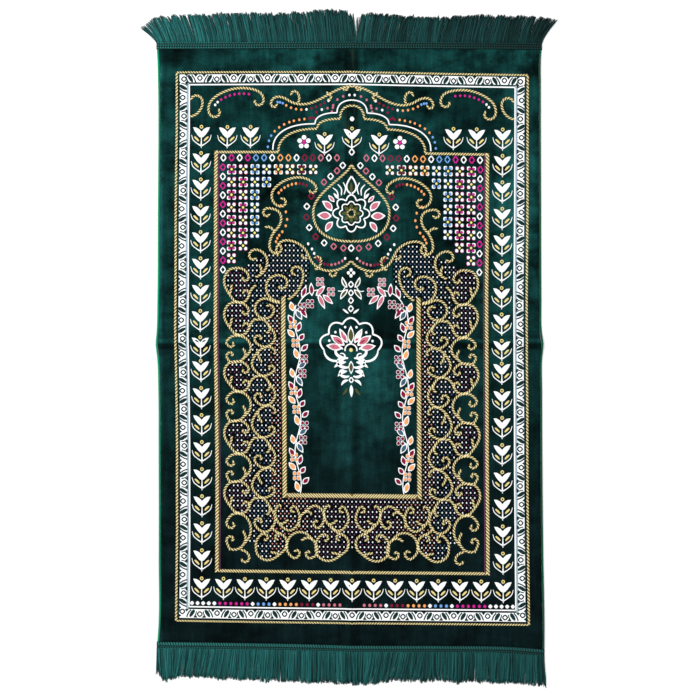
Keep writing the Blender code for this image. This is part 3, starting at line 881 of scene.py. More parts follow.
# Compass scrolls at the niche's upper corner and past its lower one
CORNER_SCROLLS = (
    ((71, 302), 0, (-100, 14), (-100, 12), (-230, 8, 3)),
    ((71, 303), 0, (-30, 20), (120, 10), (90, 10), (90, 9), (150, 5, 3)),
    ((112, 551), 180, (-70, 9), (-200, 5, 3)),
)
# Four units of the side columns, by chart column; rows run from 0 at a unit's top to 1 at its bottom. Each
# line is (places, middle and turns of its closing curl).
LOBE_BACK = [(242, 0.0), (236, -0.02), (230, 0.02), (226, 0.15), (224.2, 0.31), (224.5, 0.48), (227, 0.65),
             (231, 0.83), (235, 0.97), (240, 1.01)]
HEART_FRONT = [(240, 0.02), (245, 0.09), (248.5, 0.22), (250.5, 0.40), (250, 0.59), (247.5, 0.74),
               (244, 0.86), (240.5, 0.97), (236, 1.03), (230.5, 1.03)]
LOBE = [
    (LOBE_BACK[::-1] + [(246, 0.09), (248.5, 0.21), (248, 0.31)], (244.5, 0.27, 0.55)),
    (LOBE_BACK[-2:] + [(245, 0.97), (248.3, 0.83), (250, 0.69), (252.5, 0.57), (256, 0.48)], None),
    ([(248.6, 0.86), (249, 0.78), (247.8, 0.66)], (245, 0.72, 0.45)),
    ([(231.5, 0.47), (231, 0.62), (229.5, 0.76)], None),
]
HEART = [
    ([(240, 0.02), (233, 0.03), (228.5, 0.14), (226.2, 0.28), (228.2, 0.40)], (231.4, 0.33, 0.6)),
    (HEART_FRONT, None),
    ([(242.5, 0.5), (244.8, 0.62), (245.2, 0.76), (243.5, 0.88)], None),
    ([(230, 1.05), (227.5, 0.90), (226.2, 0.78), (228, 0.68)], (230.6, 0.75, 0.6)),
]
CIRCLE_LEFT = [
    ([(255, 0.01), (259, -0.02), (264, 0.01), (267.5, 0.14), (270.5, 0.29), (274, 0.47), (275, 0.66),
      (273, 0.83), (270, 0.94), (265.5, 1.0), (260.5, 0.97), (256.5, 0.87), (254.3, 0.74), (255.8, 0.62)],
     (259, 0.70, 0.55)),
    ([(267.5, 0.14), (269.6, 0.28), (269.2, 0.41), (266.5, 0.5)], None),
]
CIRCLE_RIGHT = [
    ([(263.5, 0.02), (259.5, 0.11), (255.5, 0.27), (252.8, 0.44), (251.8, 0.60), (253.3, 0.76), (256.8, 0.90),
      (261.5, 1.01), (267, 0.99), (271.5, 0.91), (274.5, 0.79), (273.4, 0.68)], (270.8, 0.75, 0.55)),
    ([(263.5, 0.02), (269, -0.02), (273, 0.05), (275.3, 0.15), (274, 0.26)], None),
    ([(257.8, 0.19), (258.6, 0.34), (260.5, 0.47), (262.3, 0.53)], None),
]
LOBE_SPANS = ((269.2, 302.9), (303.4, 335.4), (362.7, 392.0), (422.1, 454.1), (483.0, 514.0))
HEART_SPANS = ((335.9, 362.2), (392.0, 421.1), (454.6, 482.0), (514.0, 549.6))
CIRCLE_LEFT_SPANS = ((320.4, 347.2), (376.9, 406.1), (438.7, 468.5), (499.1, 532.6))
CIRCLE_RIGHT_SPANS = ((347.7, 375.9), (406.6, 437.6), (469.0, 498.1))
UNITS = ((LOBE, LOBE_SPANS), (HEART, HEART_SPANS), (CIRCLE_LEFT, CIRCLE_LEFT_SPANS),
         (CIRCLE_RIGHT, CIRCLE_RIGHT_SPANS))

# The same units turned round the niche's lower corner: (unit, where it starts and ends across the foot)
FOOT_UNITS = ((LOBE, 96, 66), (HEART, 66, 36), (LOBE, 36, 4), (CIRCLE_RIGHT, 77, 53), (CIRCLE_LEFT, 53, 28),
              (CIRCLE_RIGHT, 28, 4))
FOOT_STRETCH = 1.08             # depth of the foot's units against the side's
NICHE_SIDE, NICHE_TOP, NICHE_LOW = 67.7, 296.5, 495.8


def turned(places, start, end):
    """A unit's places turned a quarter round the niche's corner: depth from its rope down the rug, and rows
    from 0 to 1 run across from start to end."""
    places = np.asarray(places, float)
    deep = (CENTRE_COLUMN - NICHE_SIDE - places[:, 0]) * FOOT_STRETCH
    return np.stack([start + places[:, 1] * (end - start), NICHE_LOW + deep], axis=1)


def draw_scrolls(chart):
    """Scrolls of rope: compass ones over the niche, and four units repeated down its sides and under it."""
    for scroll in (SHOULDER_SCROLL, WAIST_SCROLL, NICHE_SCROLL, *UPPER_HOOKS, *CORNER_SCROLLS):
        chart.rope(arcs(*scroll), SCROLL_WIDE)
    chart.beads("...." + "ddd" + "oooooo" + ".......", Path(arcs(*SHOULDER_SCROLL)), 6.0, 3.6)
    chart.beads("....." + "oooooooo" + "......", Path(arcs(*WAIST_SCROLL)), 6.0, 3.6)
    chart.beads("wpppp" + "ddddd" + "www" + "........", Path(arcs(*NICHE_SCROLL)), -6.0, 3.6)
    for lines, spans in UNITS:
        for top, low in spans:
            chart.unit(lines, lambda places: columns(between(places, top, low)))
    for lines, start, end in FOOT_UNITS:
        chart.unit(lines, lambda places: turned(places, start, end))


def draw_niche_frame(chart):
    """Wide rope down the two sides of the niche and across its foot."""
    chart.run((NICHE_SIDE, NICHE_TOP), (NICHE_SIDE, NICHE_LOW + 2.5), 5.6, DOWN_PITCH)
    chart.run((NICHE_SIDE - 2.5, NICHE_LOW), (0.0, NICHE_LOW), 5.4, ACROSS_PITCH)


# ---------------------------------------------------------------- lattice

DOT_ACROSS, DOT_DOWN, DOT_TOP = 4.1, 5.04, 245.7
CROWN, CROWN_REACH = (62, 269), (21, 31)    # middle and half sizes of the oval over the niche's corner
DOT_HIDDEN = 1.2                # rows of the lattice that the cross crease hides
EDGE_REACH = 4.0                # cells from its edge over which the lattice's depth is told


def lattice_outline():
    """Outline of the lattice on one side: an oval over the niche's upper corner, down the niche's side, under
    it along the foot's units, and up the outer side along the hearts' fronts and the lobes' backs."""
    turn = np.linspace(-0.2, -1.4, 19) * math.pi
    crown = np.array(CROWN) + np.array(CROWN_REACH) * np.stack([np.cos(turn), np.sin(turn)], axis=1)
    rope = CENTRE_COLUMN - NICHE_SIDE
    inner = [(-8.0, NICHE_LOW + 3), (-8.0, NICHE_LOW + 58)]
    foot = []
    for unit, start, end in FOOT_UNITS[2::-1]:
        edge = HEART_FRONT[:7] if unit is HEART else LOBE_BACK
        foot += turned(edge, start, end)[::-1].tolist()
    side = []
    hearts, lobes = HEART_SPANS[::-1], LOBE_SPANS[::-1]
    for k, (top, bottom) in enumerate(lobes):
        if k < len(hearts):
            side += between(HEART_FRONT[:7], *hearts[k])[::-1].tolist()
        side += between(LOBE_BACK, top, bottom)[::-1].tolist()
    down = columns([(rope - 3, NICHE_TOP + 5), (rope - 3, NICHE_LOW + 3)])
    return np.concatenate([crown, down, inner, foot, columns(side)])


def rope_gap(places, ropes):
    """Distance from each place to the nearest point of any rope."""
    return np.concatenate([
        np.hypot(*(part[:, None] - ropes[None]).transpose(2, 0, 1)).min(axis=1)
        for part in np.array_split(places, max(1, len(places) // 400))])


def lattice_depth(x, y):
    """How far inside the lattice's outline each rug place lies, in cells: negative outside, and held to
    EDGE_REACH."""
    across, row = on_chart(x, y)
    places = np.stack([np.abs(across), row], axis=-1).reshape(-1, 2)
    outline = lattice_outline()
    low, high = outline.min(axis=0) - EDGE_REACH, outline.max(axis=0) + EDGE_REACH
    near = ((places > low) & (places < high)).all(axis=1)
    edge = Path(np.concatenate([outline, outline[:1]]), straight=True).line[::2]
    depth = np.full(len(places), -EDGE_REACH)
    sign = np.where(inside(places[near], outline), 1.0, -1.0)
    depth[near] = sign * np.minimum(rope_gap(places[near], edge), EDGE_REACH)
    return depth


def draw_lattice(chart):
    """Dots between the scrolls: white ones on a grid and small coloured ones at the middles of its cells,
    left out near a rope."""
    ropes = np.concatenate(chart.ropes)[::2]
    outline = lattice_outline()
    for offset in (0.0, 0.5):
        across = (np.arange(34) + offset) * DOT_ACROSS
        rows = DOT_TOP + (np.arange(66) + offset) * DOT_DOWN
        rows -= np.where(rows > CREASE_ROW, DOT_HIDDEN, 0.0)
        places = np.stack(np.meshgrid(across, rows), axis=-1).reshape(-1, 2)
        places = places[inside(places, outline)]
        places = places[rope_gap(places, ropes) > ROPE_CLEAR]
        if not offset:
            centre = places[:, 0] < 0.1
            chart.dots("white", places[~centre], 1.7, 2.3, count=6)
            chart.dots("white", places[centre], 1.7, 2.3, both=False, count=6)
            continue
        column, row = CENTRE_COLUMN - places[:, 0], places[:, 1]
        tint = np.where(column < 251, "plum", np.where((column > 272) & (row > 300), "salmon", "teal"))
        tint = np.where((row > 499) & (column > 305), "plum", tint)
        for yarn in np.unique(tint):
            chart.dots(str(yarn), places[tint == yarn], 1.7, 2.0, count=6)


# ---------------------------------------------------------------- vine, niche top and ornament

# The vine: its middle line, its top row, the rows of one repeat, and the stem's swing
VINE_ACROSS, VINE_TOP, VINE_REPEAT, VINE_SWING = 54.0, 302.0, 66.5, 3.0
VINE_STEM = (0.05, 2.88)        # repeats from the top between which the stem is drawn
VINE_STALK = 0.05               # repeats from a flower down to its stalk's foot on the stem
VINE_LAST_LEAF = 2.95           # repeats from the top past which no leaf starts
VINE_LAST_FLOWER = 2.8          # repeats from the top past which no flower comes, clear of the foot's rope
# One repeat of it: flowers (yarn, cells out from the stem, share of the repeat), and leaves (yarn, the same
# for the tail and for the tip)
VINE_FLOWERS = (("d", -6.5, 0.08), ("o", 1.5, 0.34), ("o", 3.5, 0.62), ("d", -4.5, 0.86))
VINE_LEAVES = (("o", 1.5, 0.14, 6.5, 0.0), ("d", -1.5, 0.45, -6.5, 0.30), ("t", -1.0, 0.12, -8.0, 0.27),
               ("o", 1.5, 0.86, 5.5, 0.70), ("d", -1.5, 0.74, -8.5, 0.64), ("o", 3.0, 0.53, 8.0, 0.42),
               ("d", 1.0, 0.32, 6.0, 0.20), ("t", -1.0, 1.00, -7.5, 0.90), ("d", -1.0, 0.58, -7.5, 0.48))
# The vine's bough over the niche: a compass line, then flowers and leaves at places on it
BOUGH = ((53, 306), -110, (-45, 24), (-20, 30))
BOUGH_FLOWERS = (("p", 31, 282), ("p", 20, 292), ("d", 41, 304))
BOUGH_LEAVES = (("d", 49, 298, 45, 286), ("d", 39, 296, 40, 283), ("p", 33, 294, 26, 309),
                ("p", 28, 295, 18, 304), ("p", 35, 296, 26, 286), ("d", 51, 308, 44, 318))


def draw_flower(chart, letter, place):
    """Four round petals set corner-wise, each with a coloured core on white."""
    petals = CORNERS * (2.1, 2.4)
    chart.lay("white", copies(pillow(oval(2.2, 2.45, 8, 0.8)), petals + place))
    chart.lay(COLOURS[letter], copies(pillow(oval(1.6, 1.8, 8)), petals + place), over=True)


def vine_stem(share):
    """Place on the vine's stem, a sine wave down the niche, at a number of repeats from its top."""
    share = np.asarray(share, float)
    across = VINE_ACROSS + VINE_SWING * np.sin(2 * math.pi * share)
    return np.stack([across, VINE_TOP + VINE_REPEAT * share], axis=-1)


def draw_vine(chart):
    """Flowering vine down the inside of the niche: one repeat of leaves and flowers on a wavy white stem,
    drawn down to the niche's foot, and a bough with larger leaves at its top."""
    chart.stroke("white", vine_stem(np.linspace(*VINE_STEM, 60)), 1.25)
    chart.stroke("white", arcs(*BOUGH), 1.25)
    for repeat in range(3):
        for letter, tail_out, tail_down, tip_out, tip_down in VINE_LEAVES:
            if repeat + tail_down < VINE_LAST_LEAF:
                ends = vine_stem([repeat + tail_down, repeat + tip_down])
                tail, tip = ends + [(tail_out, 0.0), (tip_out, 0.0)]
                chart.leaf("white", COLOURS[letter], tail, tip, 6.2, rim=1.8)
        for letter, out, down in VINE_FLOWERS:
            if repeat + down > VINE_LAST_FLOWER:
                continue
            place = vine_stem(repeat + down) + (out, 0.0)
            chart.stroke("white", [vine_stem(repeat + down + VINE_STALK), place], 1.0)
            draw_flower(chart, letter, place)
    for letter, tail_across, tail_row, tip_across, tip_row in BOUGH_LEAVES:
        chart.leaf("white", COLOURS[letter], (tail_across, tail_row), (tip_across, tip_row), 5.6, rim=1.7)
    for letter, across, row in BOUGH_FLOWERS:
        draw_flower(chart, letter, np.array((across, row), float))


# Under the niche's tip: rows of knot and diamonds, leaves (core's yarn, tail, tip, width, bend), and tendril
NICHE_KNOT, NICHE_DIAMONDS = 273, (284.5, 293, 300.5, 308.7)
NICHE_LEAVES = (("olive", (3.8, 287.5), (8.8, 277), 5.0, 1.0),
                ("olive", (3.2, 289.5), (10.5, 299.5), 5.4, -0.8), (None, (2.4, 313.5), (8.2, 309), 2.6, 0.0))
NICHE_TENDRIL = ((5.0, 286), (9, 291.3), (13, 291))


def draw_niche_top(chart):
    """Stem of diamonds and leaf pairs hanging from the niche's tip."""
    for across, down in ((-2.6, 0), (2.6, 0), (0, -2.9), (0, 2.9)):
        chart.lay("white", copies(pillow(oval(1.9, 2.1)), [(across, NICHE_KNOT + down)]), both=False)
    chart.diamonds(["white"] * 4, [(0, row) for row in NICHE_DIAMONDS], 3.2, 3.9, both=False)
    for core, tail, tip, wide, bend in NICHE_LEAVES:
        chart.leaf("white", core, tail, tip, wide, bend)
    chart.stroke("white", NICHE_TENDRIL, 1.1)


PALM = np.array((0.0, 350.0))   # foot of the palmette's fan
FAN_REACH, FAN_LOBE, FAN_LOBES = 27.0, 5.0, 10
FAN_LEAVES = (("pink", 28, 8, 24, 6.6), ("pink", 54, 8, 25, 8.0), ("pink", 80, 9, 25, 7.6))
FAN_DOTS = (14, 41, 67)         # angles of the dots between the fan's leaves
CUP_LEAF = (5.0, 362.0)         # tail of the first of the cup's leaves
# Pendant under the cup: leaf, diamond, drop, and the drops beside it
PENDANT_LEAF, PENDANT_DIAMOND = ((0, 361), (0, 374)), (0, 380)
PENDANT_DROP, SIDE_DROP = ((0, 385), (0, 397)), ((4, 388), (9, 395))
# Scrolls of the cup and under it: compass lines and their widths
CUP_SCROLLS = (
    (((27, 350), 90, (80, 11), (30, 18), (200, 4, 2.5)), 2.4), (((3, 358), 10, (-50, 13), (-210, 5, 3)), 3.0),
    (((2, 367), 20, (-60, 10), (-200, 4.5, 2.5)), 3.0), (((2, 376), 30, (-70, 7), (-190, 3.5, 2)), 2.8),
)


def fan(degrees, reach):
    """Place at an angle from upright, outwards, and at a reach from the fan's foot."""
    turn = np.radians(degrees)
    return PALM + np.stack([reach * np.sin(turn), -reach * np.cos(turn)], axis=-1)


def draw_ornament(chart):
    """Plain palmette in the niche: a fan of leaves inside a scalloped rim, on a cup of compass scrolls with a
    pendant leaf. The rim's reach is a radius plus a length times the size of a cosine of its angle."""
    degrees = np.linspace(0.0, 90.0, 55)
    reach = FAN_REACH + FAN_LOBE * np.abs(np.cos(np.radians(degrees) * FAN_LOBES / 2))
    chart.stroke("white", fan(degrees, reach), 2.1)
    chart.leaf("white", "olive", fan(0, 6.0), fan(0, 24.0), 7.0, both=False)
    for yarn, angle, near, far, wide in FAN_LEAVES:
        chart.leaf("white", yarn, fan(angle, near), fan(angle, far), wide)
        chart.leaf("dark_red", None, fan(angle, near + 3), fan(angle, near + 10), 2.0, over=True)
    for angle in FAN_DOTS:
        chart.dots("white", [fan(angle, 23.5)], 3.0, 3.2)
    chart.stroke("white", fan(np.linspace(0.0, 100.0, 25), 6.0), 1.7)
    chart.dots("gold_leaf", [fan(0, 0.0)], 4.4, 4.6, both=False)
    for scroll, wide in CUP_SCROLLS:
        chart.stroke("white", arcs(*scroll), wide, (0.6, 1.2, 1.1, 0.9, 0.5))
    for k in range(3):
        tail = np.array(CUP_LEAF) + (-k, 9 * k)
        chart.leaf("white", None, tail, tail + (12.0 - 2.5 * k, 5.5), 4.4 - 0.5 * k, bend=-1.4)
    chart.leaf("white", "olive", *PENDANT_LEAF, 5.6, both=False)
    chart.diamonds(["white"], [PENDANT_DIAMOND], 2.9, 3.6, both=False)
    chart.leaf("white", None, *PENDANT_DROP, 4.2, both=False)
    chart.leaf("olive", None, *SIDE_DROP, 3.0, bend=0.6)


# ---------------------------------------------------------------- finishes

class Socket:
    """A node's output, on which sums, differences, products, quotients and absolute values add Math nodes."""

    def __init__(self, finish, output):
        self.finish = finish
        self.output = output

    def maths(self, operation, *values):
        return self.finish.node("ShaderNodeMath", {"operation": operation}, dict(enumerate(values)))

    def __add__(self, other):
        return self.maths("ADD", self, other)

    def __radd__(self, other):
        return self.maths("ADD", other, self)

    def __sub__(self, other):
        return self.maths("SUBTRACT", self, other)

    def __rsub__(self, other):
        return self.maths("SUBTRACT", other, self)

    def __mul__(self, other):
        return self.maths("MULTIPLY", self, other)

    def __rmul__(self, other):
        return self.maths("MULTIPLY", other, self)

    def __truediv__(self, other):
        return self.maths("DIVIDE", self, other)

    def __abs__(self):
        return self.maths("ABSOLUTE", self)


class Finish:
    """A material and the one way in which its nodes are made."""

    def __init__(self, name, roughness, sheen, specular):
        self.material = bpy.data.materials.new(name)
        self.material.use_nodes = True
        self.tree = self.material.node_tree
        self.shader = self.tree.nodes["Principled BSDF"]
        for socket, value in (("Roughness", roughness), ("Metallic", 0.0), ("Sheen Weight", sheen),
                              ("Sheen Roughness", 0.5), ("Specular IOR Level", specular)):
            self.shader.inputs[socket].default_value = value

    def node(self, kind, settings=None, sockets=None, output=0):
        """Any node: its type, its settings, then the values or links of its sockets."""
        node = self.tree.nodes.new(kind)
        for name, value in (settings or {}).items():
            if name == "stops":
                self.set_stops(node.color_ramp, value)
            else:
                setattr(node, name, value)
        for key, value in (sockets or {}).items():
            if isinstance(value, Socket):
                self.tree.links.new(value.output, node.inputs[key])
            else:
                node.inputs[key].default_value = value
        return Socket(self, node.outputs[output])

    @staticmethod
    def set_stops(ramp, stops):
        """Stops of a colour ramp, as (place, linear colour)."""
        while len(ramp.elements) < len(stops):
            ramp.elements.new(1.0)
        for element, (place, tint) in zip(ramp.elements, stops):
            element.position = place
            element.color = (*tint, 1.0)

    def place(self):
        """The piece's own coordinates in metres."""
        return self.node("ShaderNodeTexCoord", output="Object")

    def noise(self, vector, scale, stretch=(1.0, 1.0, 1.0), detail=2.0, roughness=0.5):
        """Noise of 0 to 1 at `scale` grains a metre, on coordinates multiplied by `stretch`."""
        spread = self.node("ShaderNodeVectorMath", {"operation": "MULTIPLY"}, {0: vector, 1: stretch})
        return self.node("ShaderNodeTexNoise", None, {
            "Vector": spread, "Scale": scale, "Detail": detail, "Roughness": roughness})

    def fade(self, value, low, high, start=0.0, end=1.0):
        """Smooth step of a value from low to high, as start to end."""
        return self.node("ShaderNodeMapRange", {"interpolation_type": "SMOOTHSTEP", "clamp": True}, {
            "Value": value, "From Min": low, "From Max": high, "To Min": start, "To Max": end})

    def mix(self, share, first, second):
        """Colour between two colours."""
        colours = [(*c, 1.0) if isinstance(c, tuple) else c for c in (first, second)]
        return self.node("ShaderNodeMix", {"data_type": "RGBA", "clamp_factor": True},
                         {0: share, 6: colours[0], 7: colours[1]}, output=2)

    def scale(self, tint, factor):
        """A colour multiplied by a value."""
        return self.node("ShaderNodeVectorMath", {"operation": "SCALE"}, {0: tint, 3: factor})

    def levels(self, value, low, high, stops):
        """A value from low to high read off stops of (share, level), levels up to 1."""
        return self.node("ShaderNodeValToRGB", {"stops": [(share, (level,) * 3) for share, level in stops]},
                         {"Fac": (value - low) / (high - low)})

    def mark(self, name):
        """A number kept at the mesh's points."""
        return self.node("ShaderNodeAttribute", {"attribute_name": name}, output=2)

    def finish(self, tint, height=None, bump=0.3, distance=0.2 * MM):
        """Link the colour, and a bump from a height."""
        self.tree.links.new(tint.output, self.shader.inputs["Base Color"])
        if height is not None:
            normal = self.node("ShaderNodeBump", None, {
                "Strength": bump, "Distance": distance, "Height": height})
            self.tree.links.new(normal.output, self.shader.inputs["Normal"])
        return self.material


YARN_SPREAD = 0.12              # spread of a yarn's level


def yarn_finish(name, tint):
    """Cut yarn: the colour with a slow and a fine variation, tufted by a fine bump in rows."""
    f = Finish(name, 0.85, 0.04, 0.1)
    place = f.place()
    slow = f.noise(place, 60.0, (1.0, 0.4, 1.0))
    fine = f.noise(place, 1100.0, (1.0, 0.6, 1.0), detail=1.0)
    level = 1 + YARN_SPREAD * (slow - 0.5) + 2.2 * YARN_SPREAD * (fine - 0.5)
    return f.finish(f.scale(tuple(tint), level), fine, 0.5, 0.25 * MM)


PILE_LEVEL = 0.46               # level of all the pile's tones
# Soft patches of the pile: middle and half sizes in metres, level, and whether the other side has one too
PATCHES = (
    (0.162, 0.228, 0.075, 0.170, 0.36, True), (0.006, -0.105, 0.080, 0.130, 2.0, False),
    (0.072, 0.041, 0.042, 0.046, 0.32, False), (0.006, 0.275, 0.125, 0.120, 1.35, False),
    (0.229, 0.415, 0.070, 0.080, 0.5, False), (-0.326, 0.540, 0.060, 0.030, 0.4, False),
    (-0.090, 0.532, 0.075, 0.028, 1.7, False), (0.290, 0.532, 0.085, 0.026, 1.5, False),
    (0.309, 0.270, 0.038, 0.220, 1.9, False), (-0.060, 0.065, 0.055, 0.080, 1.5, False),
    (0.055, -0.060, 0.040, 0.070, 1.5, False), (-0.245, 0.420, 0.060, 0.090, 0.7, False),
)


def pile_finish(tints):
    """Brushed pile: lighter at the top of the rug as painted light and darker at its foot as painted shade,
    with soft blotches and streaks where the pile lies over, painted highlight and painted shade in bands
    along the two creases, near black under the lattice, and a fine tufted grain."""
    f = Finish("pile_velvet", 0.95, 0.0, 0.04)
    place = f.place()
    x, y = (f.node("ShaderNodeSeparateXYZ", None, {0: place}, output=k) for k in (0, 1))
    wobble = f.noise(place, 11.0, detail=3.0) - 0.5
    # Painted light and shade: the pile's colour runs from the painted shade at its foot to its lit top
    tint = f.mix(f.fade(y + 0.1 * wobble, -0.40, 0.20), tuple(tints.pile_shade), tuple(tints.pile))
    blotch = f.noise(place, 15.0, (0.8, 1.1, 1.0), detail=5.0, roughness=0.68)
    patch = f.noise(place, 45.0, (0.7, 1.0, 1.0), detail=3.0)
    streak = f.noise(place, 130.0, (1.0, 0.12, 1.0), detail=3.0)
    tuft = f.noise(place, 620.0, detail=2.0)
    depth = f.fade(y, -0.1, 0.1, 0.7, 1.0)
    level = 1 + depth * (f.fade(blotch, 0.34, 0.66, -0.62, 0.8) + f.fade(patch, 0.3, 0.7, -0.25, 0.3))
    level = PILE_LEVEL * level * f.fade(streak, 0.25, 0.75, 0.76, 1.26) * f.fade(tuft, 0.2, 0.8, 0.6, 1.42)
    for middle_x, middle_y, half_x, half_y, gain, mirrored in PATCHES:
        u = ((abs(x) if mirrored else x) - middle_x) / half_x
        v = (y - middle_y) / half_y
        level = level * f.fade(u * u + v * v + 1.2 * wobble, 0.1, 1.3, gain, 1.0)
    level = level * f.fade(x, -0.3435, -0.3375, 2.4, 1.0)
    wave = 0.004 * (f.noise(place, 30.0) - 0.5)
    cross, along = y + wave, x + wave
    # Painted highlight over the cross crease and painted shade under it
    light = f.fade(abs(cross - PAINTED_CREASE_HIGHLIGHT), 0.0012, 0.0044, 1.0, 0.0)
    crease_shade = f.fade(abs(cross - PAINTED_CREASE_SHADE), 0.0032, 0.0068, 1.0, 0.0)
    level = level * (1 + 0.6 * light) * (1 - 0.62 * crease_shade)
    # Painted shade in a trough along the long crease's upper half; under the cross crease, painted light on
    # its left flank and painted shade to its right
    upper = f.fade(y, -0.05, 0.15)
    trough_shade = f.fade(abs(along - PAINTED_TROUGH_SHADE), 0.009, 0.016, 1.0, 0.0)
    flank_light = f.fade(abs(along + 0.006), 0.004, 0.012, 1.0, 0.0)
    shade = f.fade(abs(along - 0.014), 0.004, 0.012, 1.0, 0.0)
    level = level * (1 - 0.58 * trough_shade * upper) * (1 + (1 - upper) * (0.3 * flank_light - 0.35 * shade))
    tint = f.scale(tint, level)
    streaks = f.fade(f.noise(place, 160.0, (1.0, 0.1, 1.0)), 0.52, 0.75, 0.0, 0.16)
    tint = f.mix(streaks * trough_shade * upper, tint, tuple(tints.olive))
    inner = f.fade(f.mark("lattice"), -0.8, 0.6, 0.0, 0.9)
    tint = f.mix(inner, tint, tuple(tints.lattice_ground))
    return f.finish(tint, tuft + 0.6 * streak, 0.5, 0.4 * MM)


def thread_finish(name, tint, spread, across=((0.0, 1.0), (1.0, 1.0)), mark=None):
    """Smooth thread: the colour with variation from yarn to yarn, its level read across the rug from stops,
    which the ends use for painted shade towards the rug's right, and multiplied by a number kept at the
    mesh's points."""
    f = Finish(name, 0.72, 0.0, 0.12)
    place = f.place()
    slow = f.noise(place, 25.0, (1.0, 0.3, 1.0), detail=2.0)
    yarn = f.noise(place, 420.0, (1.0, 0.06, 1.0), detail=1.0)
    fine = f.noise(place, 1500.0, (1.0, 0.5, 1.0), detail=1.0)
    level = 1 + spread * (slow - 0.5) + 1.2 * spread * (yarn - 0.5) + 0.5 * spread * (fine - 0.5)
    x = f.node("ShaderNodeSeparateXYZ", None, {0: place}, output=0)
    # Painted shade: the level falls across the rug by the stops given
    level = level * f.levels(x, -0.37, 0.37, across)
    if mark:
        level = level * f.mark(mark)
    return f.finish(f.scale(tuple(tint), level), fine, 0.35, 0.15 * MM)


def floor_finish(tint):
    """Plain pale floor with the least change of tone."""
    f = Finish("floor_plain", 0.95, 0.0, 0.1)
    level = 1 + 0.01 * (f.noise(f.place(), 3.0) - 0.5)
    return f.finish(f.scale(tuple(tint), level))


# ---------------------------------------------------------------- pieces

CLOTH_COLUMNS, CLOTH_ROWS = 140, 232
CREASE_SHARE = 0.507            # where both creases lie, as a share of the cloth's width and length
LONG_NEAR, CROSS_NEAR = 0.024, 0.017        # half widths of the creases, as shares of the same
EDGE_DROP, EDGE_WIDE = 0.7 * MM, 4 * MM     # how far the pile's face drops at its edge, and over what width
WRAP_SIDES, WRAP_STATIONS = 10, 6           # sides of a stitched edge's section, and stations to each wrap
WRAP_SWELL, WRAP_SLANT = 0.20, 0.35         # share by which a wrap swells, and its slant in wraps
# Painted light and shade on the stitched edges: the right one's thread is darkened as painted shade
OVERLOCK_LIGHT_AND_SHADE = {"left": 1.0, "right": 0.32}      # level of each stitched edge's colour


def near_crease(count, place, half):
    """Stations from 0 to 1, closer together near a crease, by up to 2.6 times."""
    fine = np.linspace(0.0, 1.0, count * 6)
    weight = 1 + 1.6 * np.exp(-((fine - place) / (1.6 * half)) ** 2)
    reach = np.concatenate([[0.0], np.cumsum((weight[1:] + weight[:-1]) / 2)])
    return np.interp(np.linspace(0.0, reach[-1], count), reach, fine)


def build_pile(sizes, tints):
    """The pile cloth: a slab between the bindings and headings whose two faces follow the crease ridges."""
    inset = (BINDING_WIDE + PIECE_GAP) * MM
    share = near_crease(CLOTH_COLUMNS, CREASE_SHARE, LONG_NEAR)
    up = near_crease(CLOTH_ROWS, CREASE_SHARE, CROSS_NEAR)
    low = np.mean(END_BOTTOM) * MM + SHIFT_Y
    high = np.mean(END_TOP) * MM + SHIFT_Y
    rows = low + (high - low) * up[:, None]
    left, right = side_edge(SIDE_LEFT, rows) + inset, side_edge(SIDE_RIGHT, rows) - inset
    x = (1 - share) * left + share * right
    y = (1 - up[:, None]) * end_line(END_BOTTOM, x) + up[:, None] * end_line(END_TOP, x)
    lift = crease_lift(x, y)
    edge = np.minimum(np.minimum(x - left, right - x),
                      np.minimum(y - end_line(END_BOTTOM, x), end_line(END_TOP, x) - y))
    round_off = EDGE_DROP * (1 - np.clip(edge / EDGE_WIDE, 0.0, 1.0)) ** 2
    top = np.stack([x, y, lift + sizes.pile - round_off], axis=-1).reshape(-1, 3)
    base = np.stack([x, y, lift], axis=-1).reshape(-1, 3)
    return make_piece("pile_cloth", np.concatenate([top, base]), slab_faces(CLOTH_ROWS, CLOTH_COLUMNS),
                      pile_finish(tints), replaces=("rug_cloth",),
                      marks={"lattice": np.tile(lattice_depth(x, y), 2)})


